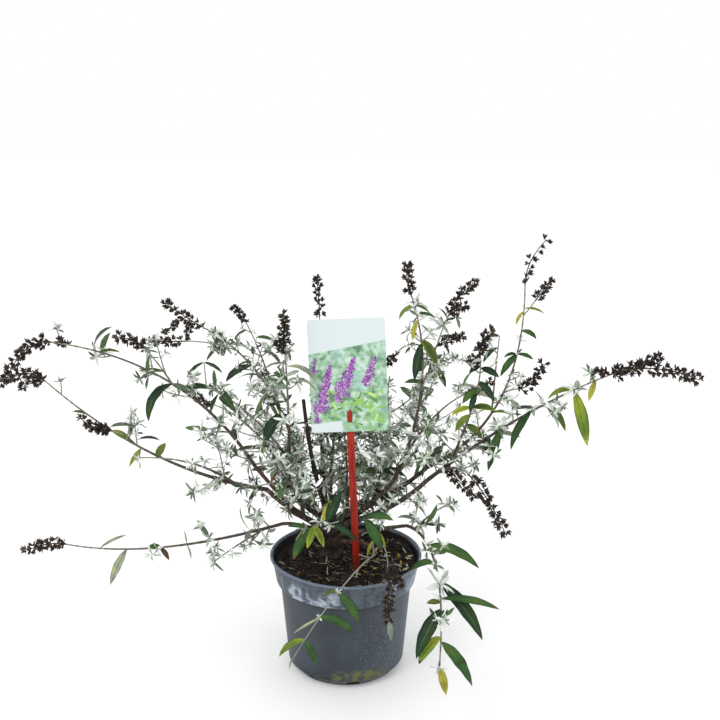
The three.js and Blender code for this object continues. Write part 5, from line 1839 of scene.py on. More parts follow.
@dataclass
class CompostBed:
    """The compost's crumbly top, its bark chunks, straw and fallen leaf bits."""

    radius: float = 88.4
    base: float = 118.0
    base_taper: float = 0.955
    rings: int = 60
    sides: int = 150
    heap_at: Pair = (62, 38)
    heap_height: float = 7
    widen_from: float = 137
    widening: float = 0.0022
    chunks: int = 1900
    straws: int = 170
    fallen: int = 60
    fallen_at: Triple = (52, -4, 17)
    spread: float = 86
    heap_spread: float = 78
    highest_bit: float = 146.0
    seed: int = 5

    def height(self, places: Array) -> Array:
        """The top's height at (x, y) places.

        It is level, with swells and crumbs of noise, a bank at the wall, and round swellings at
        the trunk and at the heap.

        Args:
            places: the places, as (..., 2).

        Returns:
            The height at each.
        """
        flat = np.concatenate([places, np.zeros((*places.shape[:-1], 1))], axis=-1)
        bank = eased(70, 88, np.hypot(places[..., 0], places[..., 1]))
        swell = 1.4 * layered_noise(flat / 31, 3, 2) + 0.9 * layered_noise(flat / 5.5, 8, 3)
        heap = self.heap_height * bell(places, np.array(self.heap_at), 1100)
        return SOIL_TOP - 1.2 + swell + 1.6 * bell(places, TRUNK_AT, 900) + 0.8 * bank + heap

    def build(self, pot: Pot) -> None:
        """The bed, and the pieces that lie on it.

        The bed's rings have radii by the square root of an even share, so that they hold equal
        areas, and widen with height, as the pot's wall does.

        Args:
            pot: the pot, whose dent the bed follows.
        """
        radius = self.radius * np.sqrt(np.linspace(0.0003, 1, self.rings))
        angle = circle(self.sides)
        across = np.stack([radius[:, None] * np.cos(angle), radius[:, None] * np.sin(angle)], axis=-1)
        rise = self.height(across)[..., None]
        share = radius[:, None, None] / self.radius
        wider = 1 + self.widening * np.maximum(rise - self.widen_from, 0) * share**2
        top = np.concatenate([across * wider, rise], axis=-1)
        skirt = top[-1] * np.array([self.base_taper, self.base_taper, 0]) + np.array([0, 0, self.base])
        wall = np.concatenate([top, skirt[None]])[::-1]
        poles = [[0, 0, self.base], [0, 0, float(self.height(np.zeros(2)))]]
        points = pot.squeeze(np.concatenate([wall.reshape(-1, 3), poles]))
        weave = ring_weave(len(wall), self.sides)
        faces = [*weave.quads.tolist(), *weave.tris.tolist()]
        bed = new_piece("compost_bed", points, faces, Compost().material())
        settle(bed, "compost", "soil")
        self.scatter(pot)

    def scatter(self, pot: Pot) -> None:
        """Chunks of bark, straws and fallen bits of leaf, dealt by seeded chance.

        Args:
            pot: the pot, whose dent the pieces follow.
        """
        rng = np.random.default_rng(self.seed)
        colours = [(0.006, 0.0045, 0.0035), (0.014, 0.0095, 0.0065), (0.028, 0.018, 0.011),
                   (0.065, 0.042, 0.026), (0.30, 0.22, 0.13), (0.52, 0.46, 0.31), (0.46, 0.38, 0.05),
                   (0.50, 0.53, 0.44)]
        joined = Joined()
        count = self.chunks
        size = rng.uniform(1.6, 6, count) * rng.choice([0.7, 1, 1.5], count, p=[0.5, 0.38, 0.12])
        wide, thick = rng.uniform(0.25, 0.55, count), rng.uniform(0.14, 0.3, count)
        shape = np.stack([size, size * wide, size * thick], axis=-1)
        tone = rng.choice(6, count, p=[0.50, 0.30, 0.12, 0.055, 0.018, 0.007])
        self.lay(joined, rng, shape / 1.4, tone, 0.45)
        count = self.straws
        length = rng.uniform(3, 13, count)
        shape = np.stack([length, rng.uniform(0.3, 0.65, count), np.full(count, 0.35)], axis=-1)
        self.lay(joined, rng, shape, rng.choice([3, 4, 5], count, p=[0.3, 0.4, 0.3]), 0.22)
        count = self.fallen
        length = rng.uniform(3, 7.5, count)
        shape = np.stack([length, length * rng.uniform(0.16, 0.3, count), np.full(count, 0.25)], axis=-1)
        tone = rng.choice([5, 6, 7], count, p=[0.25, 0.3, 0.45])
        self.lay(joined, rng, shape, tone, 0.4, self.fallen_at)
        joined.points = [pot.squeeze(points) for points in joined.points]
        chips = joined.build("compost_chips", tones("chip", colours, 0.9), smooth=False)
        settle(chips, "compost", "soil")

    def lay(self, joined: Joined, rng: np.random.Generator, shape: Array, tone: Array,
            tilt: float, heap: Triple | None = None) -> None:
        """Lay angular bits on the bed.

        A bit is three rings of five points and two poles, stretched by its half sizes and
        turned about Z, with a tilt.

        Args:
            joined: what they are gathered in.
            rng: the row of chances.
            shape: the bits' three half sizes.
            tone: the bits' tones.
            tilt: how steeply they may lie, in radians.
            heap: the middle and spread of a heap, or none for bits all over.
        """
        count = len(shape)
        weave = ring_weave(3, 5)
        angle = circle(5)
        ring = np.stack([np.zeros(5), np.cos(angle), np.sin(angle)], axis=-1)
        rings = [ring * share + np.array([x, 0, 0]) for x, share in ((-0.62, 0.8), (0.05, 1), (0.66, 0.72))]
        base = np.concatenate([*rings, [[-1, 0, 0], [1, 0, 0]]])
        bits = base * rng.uniform(0.7, 1.25, (count, len(base), 1)) * shape[:, None, :]
        turn, lean = rng.uniform(0, 2 * math.pi, count), rng.normal(0, tilt, count)
        ahead = np.stack([np.cos(turn) * np.cos(lean), np.sin(turn) * np.cos(lean), np.sin(lean)], axis=-1)
        beside = np.stack([-np.sin(turn), np.cos(turn), np.zeros(count)], axis=-1)
        over = np.cross(ahead, beside)
        out = self.spread * np.sqrt(rng.uniform(0, 1, count)) - shape[:, 0] * 0.7
        bearing = rng.uniform(0, 2 * math.pi, count)
        place = np.stack([out * np.cos(bearing), out * np.sin(bearing)], axis=-1)
        if heap is not None:
            place = np.array(heap[:2]) + rng.normal(0, heap[2], (count, 2))
            place *= np.minimum(1, self.heap_spread / np.hypot(place[:, 0], place[:, 1]))[:, None]
        rise = self.height(place) + 0.4 * shape[:, 2]
        middle = np.concatenate([place, rise[:, None]], axis=-1)
        along, aside, up = bits[..., :1], bits[..., 1:2], bits[..., 2:]
        turned = along * ahead[:, None] + aside * beside[:, None] + up * over[:, None]
        points = turned + middle[:, None]
        points[..., 2] = np.minimum(points[..., 2], self.highest_bit)
        joined.add(points, weave, np.repeat(tone[:, None], 3, axis=1))


@dataclass
class Label:
    """The plant label: a barbed red stick through the slot of a printed card."""

    width: float = 90
    height: float = 135
    foot: float = -19.0
    corner: float = 3
    thickness: float = 0.8
    slot_half: Pair = (3.4, 7.8)
    slot_corner: float = 2
    stick_top: float = 215.4
    stick_buried: float = 58.0
    stick_half: float = 4.75
    stick_thickness: float = 1.2
    print_half: float = 43.5
    print_foot: float = -17
    print_top: float = 72
    slot_clear: Pair = (4.2, 8.6)
    banner_end: Pair = (-6, -8)

    def sheet(self, name: str, outlines: list[Array], thickness: float, edge: float,
              place: Place, material: Material) -> Object:
        """A flat sheet in a placed frame's XZ plane.

        Args:
            name: the piece's name.
            outlines: its closed outlines in millimetres, and those of its holes.
            thickness: how thick it is.
            edge: how far its edges are rounded.
            place: the frame that it stands in.
            material: its finish.

        Returns:
            The piece, as a mesh at the origin.
        """
        curve = bpy.data.curves.new(name, "CURVE")
        curve.dimensions, curve.fill_mode = "2D", "BOTH"
        curve.extrude, curve.bevel_depth = (thickness / 2 - edge) * MM, edge * MM
        curve.offset, curve.bevel_resolution = -edge * MM, 2
        for outline in outlines:
            spline = curve.splines.new("POLY")
            spline.points.add(len(outline) - 1)
            flat = np.pad(outline * MM, ((0, 0), (0, 2)))
            flat[:, 3] = 1
            spline.points.foreach_set("co", flat.ravel())
            spline.use_cyclic_u = True
        maker = link(name + "_outline", curve)
        graph = bpy.context.evaluated_depsgraph_get()
        mesh = bpy.data.meshes.new_from_object(maker.evaluated_get(graph), depsgraph=graph)
        bpy.data.objects.remove(maker)
        mesh.name = name
        flat = np.zeros(len(mesh.vertices) * 3)
        mesh.vertices.foreach_get("co", flat)
        flat = flat.reshape(-1, 3) / MM
        upright = np.stack([flat[:, 0], -flat[:, 2], flat[:, 1]], axis=-1)
        mesh.vertices.foreach_set("co", (place.world(upright) * MM).ravel())
        self.map(mesh, flat)
        mesh.materials.clear()
        mesh.materials.append(material)
        mesh.update()
        return link(name, mesh)

    def map(self, mesh: bpy.types.Mesh, flat: Array) -> None:
        """Give the sheet its own map: shares of the card's width and height.

        Args:
            mesh: the sheet's mesh.
            flat: its points before it was placed.
        """
        layer = mesh.uv_layers.new(name="card") if not mesh.uv_layers else mesh.uv_layers[0]
        corner = np.zeros(len(mesh.loops), np.int32)
        mesh.loops.foreach_get("vertex_index", corner)
        share = (flat[:, :2] - np.array([-self.width / 2, self.foot])) / np.array([self.width, self.height])
        layer.data.foreach_set("uv", share[corner].astype(np.float32).ravel())

    def stick_outline(self) -> Array:
        """The stick's outline: straight edges with a small barb every five millimetres.

        Returns:
            The outline's points.
        """
        top, buried, half = self.stick_top, self.stick_buried, self.stick_half
        rise = np.arange(6, top - 27, 5.0)
        barbs = np.stack([np.tile([half - 0.55, half - 0.1, half - 0.55], len(rise)),
                          (rise[:, None] + np.array([0, 0.5, 1.9])).ravel()], axis=-1)
        nose = [[3.9, top - 24], [2.7, top - 15], [2.6, top - 5], [1.8, top - 1.4], [0.7, top]]
        right = np.concatenate([[[1, -buried], [half - 0.2, -buried + 16]], barbs, nose])
        return np.concatenate([right, right[::-1] * np.array([-1, 1])])

    def build(self) -> None:
        """The stick, the card and its print."""
        stick = self.sheet("label_stick_red", [self.stick_outline()], self.stick_thickness, 0.2,
                           Frames.STICK, StickPlastic().material())
        hide_sharp(stick, 30)
        settle(stick, "label_stick", "label_stick")
        outline = rounded_box(self.width / 2, self.foot, self.foot + self.height, self.corner)
        x, z = self.slot_half
        slot = rounded_box(-x, -z, z, self.slot_corner)
        card = self.sheet("label_card_sheet", [outline, slot], self.thickness, 0.12, Frames.CARD,
                          CardPrint().material())
        card.data.materials.append(Flat("card_bare", (0.62, 0.64, 0.62), 0.45).material())
        facing = np.zeros(len(card.data.polygons) * 3)
        card.data.polygons.foreach_get("normal", facing)
        front = facing.reshape(-1, 3) @ Frames.CARD.turn[:, 1] < -0.5
        card.data.polygons.foreach_set("material_index", np.where(front, 0, 1).astype(np.int32))
        hide_sharp(card, 30)
        settle(card, "label_card", "label_card")
        self.print_blossoms()

    def print_blossoms(self) -> None:
        """Violet flower spikes and lime leaves, printed as thin flat shapes on the card's front.

        A spike has a foot, a tip, a width and a number of petals, which stray from its line by
        a bell-shaped chance times width times (1 - share)^0.7, and less close to its foot.
        """
        rng = np.random.default_rng(11)
        colours = [(0.27, 0.08, 0.35), (0.38, 0.17, 0.46), (0.16, 0.04, 0.24), (0.56, 0.38, 0.62),
                   (0.26, 0.50, 0.12), (0.47, 0.68, 0.24), (0.10, 0.26, 0.10)]
        joined = Joined()
        spikes = [((-35, 6), (-20, 62), 11.0, 560), ((-13, 18), (9, 71), 12.5, 640),
                  ((20, 36), (33, 74), 7.0, 260), ((-37, -8), (-41, 14), 4.0, 80),
                  ((-40, 52), (-38, 70), 4.0, 70)]
        for start, tip, wide, count in spikes:
            share = rng.uniform(0, 1, count) ** 1.2
            start, tip = np.array(start, float), np.array(tip, float)
            line = unit(tip - start)
            beside = np.array([-line[1], line[0]])
            stray = np.clip(rng.normal(0, 0.45, count), -1, 1)
            off = stray * wide * (1 - share) ** 0.7 * np.minimum(1, 0.45 + share * 4)
            middle = start + (tip - start) * share[:, None] + beside * off[:, None]
            tone = rng.choice(4, count, p=[0.38, 0.28, 0.2, 0.14])
            self.print_petals(joined, rng, middle, rng.uniform(0.6, 1.6, count), 0.8, tone)
        count = 64
        middle = np.stack([rng.uniform(-30, 41, count), rng.uniform(-14, 30, count)], axis=-1)
        tone = rng.choice([4, 5, 6], count, p=[0.4, 0.3, 0.3])
        self.print_petals(joined, rng, middle, rng.uniform(3.0, 8, count), 0.26, tone)
        print_piece = joined.build("label_print", tones("ink", colours, 0.34))
        settle(print_piece, "label_card", "label_card")

    def print_petals(self, joined: Joined, rng: np.random.Generator, middle: Array, size: Array,
                     slim: float, tone: Array) -> None:
        """Flat seven-sided shapes, kept on the card and off its slot and bands.

        Each lies a little further out from the card than the last, so that none share a plane.

        Args:
            joined: what they are gathered in.
            rng: the row of chances.
            middle: their places on the card.
            size: their half lengths.
            slim: half width against half length.
            tone: their tones.
        """
        x, z = middle.T
        keep = (np.abs(x) + size < self.print_half) & (z - size > self.print_foot)
        keep &= z + size < self.print_top
        for place, end in (((np.abs(x), np.abs(z)), self.slot_clear), ((x, z), self.banner_end)):
            keep &= ~((place[0] < end[0] + size) & (place[1] < end[1] + size))
        middle, size, tone = middle[keep], size[keep], tone[keep]
        angle = circle(7)
        turn = rng.uniform(0, math.pi, len(size))[:, None]
        wide = np.cos(angle) * size[:, None]
        high = np.sin(angle) * size[:, None] * slim
        across = wide * np.cos(turn) - high * np.sin(turn) + middle[:, :1]
        up = wide * np.sin(turn) + high * np.cos(turn) + middle[:, 1:]
        out = -0.41 - 0.04 * np.arange(len(size))[:, None] / len(size) + 0 * across
        points = Frames.CARD.world(np.stack([across, out, up], axis=-1))
        fan = np.stack([np.zeros(5, int), np.arange(1, 6), np.arange(2, 7)], axis=-1)
        weave = Weave(np.zeros((0, 4), int), fan, np.zeros(0, int), np.zeros(5, int))
        joined.add(points, weave, tone[:, None])


# ---- Trunk, boughs and dead wood -------------------------------------------------------------


def bark_tube(joined: Joined, limb: Limb, sides: int, step: float, relief: float, seed: int,
              collars: list[Pair], slot: int = 0, girth: float = 1.0) -> None:
    """Gather a limb's skin with bark relief.

    The radius at a point is the limb's own, plus relief times noise that is stretched along
    the limb, plus a bell-shaped swelling at each fork.

    Args:
        joined: what it is gathered in.
        limb: the limb.
        sides: how many points a ring has.
        step: the space between rings, in millimetres.
        relief: how deep the bark's furrows are, in millimetres.
        seed: the noise's seed.
        collars: the forks, as pairs of share and height of the swelling.
        slot: the material slot.
        girth: the skin's radius against the limb's own.
    """
    rings = max(6, round(limb.arc.length / step))
    share = np.linspace(0, 1, rings)
    angle = circle(sides)
    radius = np.asarray(limb.radius(share), float) * girth
    for at, swelling in collars:
        radius = radius + swelling * np.exp(-(((share - at) * limb.arc.length / 7) ** 2))
    along, around_it = np.meshgrid(share * limb.arc.length / 9, angle, indexing="ij")
    place = np.stack([np.cos(around_it) * 2.6, np.sin(around_it) * 2.6, along], axis=-1)
    depth = layered_noise(place, seed, 3) * relief + 0.5 * relief * layered_noise(place * 2.7, seed + 9, 2)
    skin = radius[:, None] + depth * np.minimum(1, radius[:, None] / 5)
    joined.add(sweep(limb.arc.at(share)[None], skin[None], sides), ring_weave(rings, sides), slot)


class Wood:
    """The trunk, the boughs and the dead stub, each with bark relief and fork collars."""

    RUSSET = ("left_long", "left_low", "left_upper", "front", "front_left")

    def build(self, skeleton: Skeleton) -> None:
        """Make the three pieces.

        Args:
            skeleton: the limbs.
        """
        limbs = skeleton.limbs
        forks: dict[str, list[Pair]] = {name: [] for name in limbs}
        for branch in BRANCHES:
            forks[branch.bough.on].append((branch.bough.at, branch.bough.radii[0] * 0.28))
        forks[DEAD_STUB.on].append((DEAD_STUB.at, 0.5))
        trunk = Joined()
        bark_tube(trunk, limbs["trunk"], 96, 0.7, 0.75, 2, forks["trunk"])
        dark = Bark("bark_trunk", (0.012, 0.008, 0.006), (0.036, 0.023, 0.016), (0.10, 0.07, 0.05),
                    (1, 1, 0.2))
        settle(trunk.build("trunk_bark", [dark.material()]), "bark", "trunk")
        boughs = Joined()
        names = [f"bough_{branch.name}" for branch in BRANCHES]
        for order, (name, branch) in enumerate(zip(names, BRANCHES)):
            slot = 1 if branch.name in self.RUSSET else 0
            collars = [(0.0, 1.4), *forks[name]]
            bark_tube(boughs, limbs[name], 40, 0.9, 0.42, 20 + order, collars, slot, SLIM)
        brown = Bark("bark_bough", (0.022, 0.015, 0.011), (0.072, 0.049, 0.035), (0.20, 0.165, 0.13))
        russet = Bark("bark_russet", (0.038, 0.019, 0.013), (0.115, 0.063, 0.041), (0.26, 0.19, 0.14))
        settle(boughs.build("bough_bark", [brown.material(), russet.material()]), "bark", *names)
        dead = Joined()
        bark_tube(dead, limbs["dead_stub"], 28, 1.0, 0.3, 71, [(0.4, 0.8), (0.72, 0.6)])
        black = Bark("bark_dead", (0.006, 0.005, 0.004), (0.022, 0.016, 0.013), (0.05, 0.04, 0.035))
        settle(dead.build("dead_wood", [black.material()]), "bark", "dead_stub")


# ---- The crown -------------------------------------------------------------------------------

# Young leaves from the lightest felt to the darkest, then a green and a deep shade.
SILVER = [(0.84, 0.88, 0.84), (0.62, 0.67, 0.61), (0.39, 0.45, 0.37), (0.21, 0.26, 0.19),
          (0.10, 0.135, 0.085), (0.075, 0.14, 0.045), (0.022, 0.040, 0.020)]
# Old leaves from dark green to yellow, then the tones of their ribs, undersides and dry tips.
OLD_TONES = [(0.014, 0.042, 0.016), (0.032, 0.092, 0.022), (0.075, 0.115, 0.022), (0.17, 0.26, 0.028),
             (0.40, 0.37, 0.045)]
OLD_EXTRA = [(0.065, 0.115, 0.045), (0.29, 0.34, 0.25), (0.085, 0.050, 0.025)]
RIB, FELT, SCORCH = 5, 6, 7
STEM_TONES = [(0.048, 0.035, 0.028), (0.085, 0.066, 0.053), (0.145, 0.122, 0.100), (0.26, 0.265, 0.21),
              (0.030, 0.024, 0.02)]
TWIG_TONE, DRY_TONE = 3, 4
GOLDEN = (1 + math.sqrt(5)) / 2
CAPSULES = [(0.020, 0.014, 0.012), (0.040, 0.028, 0.022), (0.074, 0.054, 0.040), (0.15, 0.125, 0.080)]


@dataclass
class Nodes:
    """Places on stems where leaves and shoots start: point, axis, turn and size."""

    at: Array
    axis: Array
    turn: Array
    size: Array

    def sides(self) -> "Nodes":
        """The same places twice, the second time turned half round."""
        return Nodes(np.concatenate([self.at] * 2), np.concatenate([self.axis] * 2),
                     np.concatenate([self.turn, self.turn + math.pi]), np.concatenate([self.size] * 2))

    def take(self, mask: Array) -> "Nodes":
        """The places that the mask picks."""
        return Nodes(self.at[mask], self.axis[mask], self.turn[mask], self.size[mask])

    def outward(self, forward: float | Array) -> Array:
        """Unit headings that lean forward along the axis by a share."""
        across = turned_out(self.axis, self.turn)
        return unit(across + self.axis * np.asarray(forward)[..., None])


def turned_out(axis: Array, turn: Array) -> Array:
    """The vector of `around` for rows of axes and angles.

    Args:
        axis: unit vectors, as rows.
        turn: an angle for each.

    Returns:
        The unit vectors, as rows.
    """
    reference = np.where(np.abs(axis[:, 2:]) < 0.9, UP, np.array([1.0, 0, 0]))
    start = unit(np.cross(axis, reference))
    return start * np.cos(turn)[:, None] + np.cross(axis, start) * np.sin(turn)[:, None]


class Foliage:
    """Stems, twigs, leaves and capsules, grown on from the skeleton's stems."""

    STEP = {Habit.HEART: 12.0, Habit.PLAIN: 14.0, Habit.LEAFY: 17.0, Habit.BARE: 24.0}
    SHOOT_ODDS = {Habit.HEART: 0.42, Habit.PLAIN: 0.44, Habit.LEAFY: 0.42, Habit.BARE: 0.36}
    HALF_GROWN_ODDS = {Habit.HEART: 0.22, Habit.PLAIN: 0.22, Habit.LEAFY: 0.22, Habit.BARE: 0.1}
    TUBE_SIDES = 7
    FAN = 11  # the capsules of a fan
    STUB_CLEAR = 6  # how far leaves before the dead stub keep from it, across the view
    PIECE_LIMIT = 190000  # the triangles of a piece

    def __init__(self, skeleton: Skeleton, seed: int = 7) -> None:
        """Start with the skeleton and a row of chances.

        Args:
            skeleton: the limbs and masses.
            seed: the seed of the row of chances.
        """
        self.skeleton = skeleton
        self.rng = np.random.default_rng(seed)
        self.stems = Joined()
        self.young: list[Leaves] = []
        self.old: list[Leaves] = []
        self.set_by_hand: list[Leaves] = []
        self.sprigs: dict[str, Limb] = {}
        self.masses = {mass.branch.name: mass for mass in skeleton.masses}
        self.capsules = Joined()

    def stand(self, low: float, high: float, count: int) -> Array:
        """Evenly drawn numbers."""
        return self.rng.uniform(low, high, count)

    # -- stems --

    def add_tube(self, limb: Limb, tone: int | None = None, fade: float = 1.0) -> None:
        """A stem's skin, with a swelling at each joint; its tone goes by its thickness.

        Args:
            limb: the stem.
            tone: its material slot, or none to go by thickness.
            fade: the power of the share left to the tip, by which the stem gets thinner.
        """
        rings = max(3, math.ceil(limb.arc.length / 4))
        share = np.linspace(0, 1, rings)
        taper = np.asarray(limb.radius(1 - (1 - share) ** fade), float) * (SLIM if fade > 1 else 1)
        radius = taper * (1 + 0.12 * np.sin(share * rings * 1.9) ** 4)
        slots = np.select([radius > 2.3, radius > 1.5, radius > 1.0], [0, 1, 2], TWIG_TONE)
        slots = np.full(rings, tone) if tone is not None else slots
        points = sweep(limb.arc.at(share)[None], radius[None], self.TUBE_SIDES)
        self.stems.add(points, ring_weave(rings, self.TUBE_SIDES), slots[None])

    def add_twiglets(self, foot: Array, tip: Array, radius: Array, tone: int) -> None:
        """Many short straight shoots, four-sided, from foot to tip.

        Args:
            foot: where they start, as rows.
            tip: where they end.
            radius: their radii at the foot.
            tone: their material slot.
        """
        share = np.linspace(0, 1, 3)[None, :, None]
        paths = foot[:, None] * (1 - share) + tip[:, None] * share
        taper = radius[:, None] * np.array([1.0, 0.85, 0.65])
        self.stems.add(sweep(paths, taper, 4), ring_weave(3, 4), tone)

    def nodes_on(self, limb: Limb, first: float, last: float, step: float, size: float) -> Nodes:
        """Joints along a limb, each a quarter turn on from the last.

        Args:
            limb: the stem or shoot.
            first: the bare length at its foot.
            last: the bare length at its tip.
            step: the mean space between joints.
            size: the size that all places get.

        Returns:
            The places.
        """
        free = limb.arc.length - first - last
        count = max(0, math.floor(free / step) + 1)
        share = (first + np.arange(count) * step + self.stand(-0.2, 0.2, count) * step) / limb.arc.length
        share = np.clip(share, 0, 1)
        turn = self.stand(0, math.pi, 1) + np.arange(count) * QUARTER + self.rng.normal(0, 0.22, count)
        return Nodes(limb.arc.at(share), limb.arc.heading(share), turn, np.full(count, size))

    # -- leaves --

    def leaves_at(self, nodes: Nodes, opening: Array, length: Array, slim: float,
                  arch: Pair, tone: Array) -> Leaves:
        """One leaf on each place.

        Args:
            nodes: the places; a leaf sets out from its axis, turned out by the place's turn.
            opening: the angle between the axis and the leaf.
            length: the leaves' lengths.
            slim: half width against length.
            arch: least and greatest bend of a blade.
            tone: the material slot of each leaf.

        Returns:
            The leaves, their upper sides towards the axis.
        """
        out = turned_out(nodes.axis, nodes.turn)
        c, s = np.cos(opening)[:, None], np.sin(opening)[:, None]
        count = len(length)
        return Leaves(nodes.at, nodes.axis * c + out * s, nodes.axis * s - out * c, length,
                      length * slim * self.stand(0.85, 1.2, count), self.stand(*arch, count),
                      self.rng.normal(0, 0.25, count), self.stand(0.1, 0.4, count),
                      self.rng.normal(0, 0.35, count), tone)

    def silver(self, at: Array) -> Array:
        """Tones of young leaves: most are light, by clouds some get darker, and near the trunk they get
        darker as painted shade of the inner crown.

        Args:
            at: where the leaves start, as rows.

        Returns:
            A material slot for each.
        """
        out = from_trunk(at)
        # Painted shade: leaves near the trunk and below about 300 to 360 mm get darker tones.
        painted_core_shade = (1 - eased(24, 80, out)) * (1 - eased(300, 360, at[:, 2]))
        shade = np.clip(0.16 + 0.80 * soft_noise(at / 15, 4) + 0.28 * painted_core_shade, 0, 1)[:, None]
        light = np.array([0.26, 0.30, 0.19, 0.10, 0.06, 0.07, 0.02])
        dark = np.array([0.02, 0.05, 0.09, 0.13, 0.19, 0.16, 0.36])
        steps = np.cumsum(light * (1 - shade) + dark * shade, axis=1)
        return np.minimum((self.rng.uniform(0, 1, (len(at), 1)) > steps).sum(axis=1), 6)

    def add_rosettes(self, nodes: Nodes, pairs: int, slim: float = 0.13, bright: bool = False) -> None:
        """A star of young leaves on each place: pairs a quarter turn apart, inner ones shorter.

        Pair k of n opens by 84 degrees less 62 (k / n) and has 1 - 0.5 (k / n) of the size.
        Bright stars have the lightest tones.

        Args:
            nodes: the places, whose size is a leaf's length.
            pairs: how many pairs a star has.
            slim: half width against length.
            bright: whether all leaves are light.
        """
        for k in range(pairs):
            both = nodes.sides()
            count = len(both.size)
            inner = k / pairs
            opening = np.radians(84 - 62 * inner) + self.rng.normal(0, 0.16, count)
            length = both.size * (1 - 0.5 * inner) * self.stand(0.75, 1.1, count)
            turned = Nodes(both.at + both.axis * (k * 0.5), both.axis,
                           both.turn + k * QUARTER + self.rng.normal(0, 0.25, count), both.size)
            light = self.rng.choice([0, 1, 2, 5], count, p=[0.42, 0.34, 0.14, 0.10])
            tone = light if bright else self.silver(both.at)
            self.young.append(self.leaves_at(turned, opening, length, slim, (0.1, 0.9), tone))

    def picked(self, nodes: Nodes, odds: float | Array) -> Nodes:
        """Both sides of joints, each kept by its joint's odds.

        Args:
            nodes: the joints.
            odds: the chance of keeping a side, for all joints or for each.

        Returns:
            The places that are kept.
        """
        both = nodes.sides()
        keep = np.concatenate([np.broadcast_to(odds, nodes.size.shape)] * 2)
        return both.take(self.rng.uniform(0, 1, len(both.size)) < keep)

    def add_side_shoots(self, nodes: Nodes, odds: float | Array, reach: Pair) -> None:
        """Short felted shoots from joints, each with leaf pairs and a star at its tip.

        Args:
            nodes: the joints.
            odds: the chance of a shoot on each side of a joint.
            reach: least and greatest length.
        """
        both = self.picked(nodes, odds)
        count = len(both.size)
        if count == 0:
            return
        heading = unit(both.outward(self.stand(0.3, 1.0, count)) + UP * 0.35)
        length = self.stand(*reach, count) * both.size
        tip = both.at + heading * length[:, None]
        self.add_twiglets(both.at, tip, np.full(count, 0.62), TWIG_TONE)
        star = Nodes(tip, heading, self.stand(0, math.pi, count), self.stand(12, 19, count) * both.size)
        self.add_rosettes(star, 4, 0.12)
        for share, least in ((0.5, 9), (0.78, 16), (0.25, 22)):
            some = length > least
            if some.any():
                middle = both.at + heading * length[:, None] * share
                n = int(some.sum())
                turn = self.stand(0, math.pi, n)
                pair = Nodes(middle[some], heading[some], turn, np.ones(n)).sides()
                n = 2 * n
                opening, long = self.stand(0.8, 1.3, n), self.stand(10, 16, n)
                tone = self.silver(pair.at)
                self.young.append(self.leaves_at(pair, opening, long, 0.125, (0.2, 0.9), tone))

    def add_half_grown(self, nodes: Nodes, odds: float) -> None:
        """Half-grown leaves below the shoots: grey-green, 18 to 38 mm, hanging a little.

        Args:
            nodes: the joints.
            odds: the chance of a leaf on each side of a joint.
        """
        both = self.picked(nodes, odds)
        count = len(both.size)
        if count == 0:
            return
        tone = self.rng.choice([2, 3, 4, 5, 6], count, p=[0.06, 0.12, 0.18, 0.38, 0.26])
        opening, length = self.stand(0.75, 1.35, count), self.stand(18, 38, count) * both.size
        self.young.append(self.leaves_at(both, opening, length, 0.115, (0.3, 1.3), tone))

    def host(self, row: Sprig) -> Limb:
        """The limb that a listed row names: a sprig, a stem, or below 0 a seed head.

        Args:
            row: the row.

        Returns:
            The limb.
        """
        if row.branch in self.sprigs:
            return self.sprigs[row.branch]
        mass = self.masses[row.branch]
        return mass.heads[-1 - row.stem] if row.stem < 0 else mass.stems[row.stem][0]

    def reach(self, row: Sprig, sag: float) -> Arc:
        """The line of a listed row, from its host, sagging by a share of its length."""
        start = self.host(row).arc.at(row.at)
        return Arc.bent(start, start + aimed(row.bearing, row.lean) * row.length, UP * row.length * sag)

    def set_leaf(self, row: SetLeaf) -> None:
        """A listed old leaf.

        Args:
            row: where it stands and its shape.
        """
        heading = aimed(row.bearing, row.lean)
        bearing, roll = math.radians(row.bearing), math.radians(row.roll)
        above = math.cos(bearing) * RISE - math.sin(bearing) * RIGHT
        above *= 1 if math.cos(bearing) >= 0 else -1
        face = NEAR * math.cos(roll) + above * math.sin(roll)
        face = unit(face - heading * (heading @ face))
        root = self.host(row).arc.at(row.at)
        fold, twist = self.rng.uniform(0.1, 0.3), self.rng.normal(0, 0.25)
        curl = -row.arch * 1.3 * float(np.cross(face, heading) @ UP)
        arch = row.arch * math.sin(roll)
        shape = (root, heading, face, row.length, row.length * row.slim, arch, curl, fold, twist, row.tone)
        self.set_by_hand.append(Leaves.one(*shape))

    def add_old(self, leaf: OldLeaf) -> None:
        """An old leaf where the rule put one.

        Args:
            leaf: where it stands and its size.
        """
        rng = self.rng
        heading = unit(leaf.heading + rng.normal(0, 0.06, 3))
        face = self.outer_face(leaf.root, heading)
        tone = rng.choice(5, p=[0.42, 0.34, 0.16, 0.07, 0.01])
        half = OLD_HALF * leaf.size * rng.uniform(0.82, 1.0)
        arch, curl = rng.uniform(0.85, 1.45), rng.normal(0, 0.4)
        fold, twist = rng.uniform(0.15, 0.4), rng.normal(0, 0.45)
        length = OLD_LENGTH * leaf.size
        self.old.append(Leaves.one(leaf.root, heading, face, length, half, arch, curl, fold, twist, tone))

    @staticmethod
    def outer_face(root: Array, heading: Array) -> Array:
        """The side of a leaf that looks up and away from the trunk, square to its heading.

        Args:
            root: where the leaf starts.
            heading: the way it sets out.

        Returns:
            The unit normal.
        """
        away = np.array([*(root[:2] - TRUNK_AT), 0.0])
        light = UP + 0.8 * unit(away)
        return unit(light - heading * (light @ heading))

    # -- seed heads --

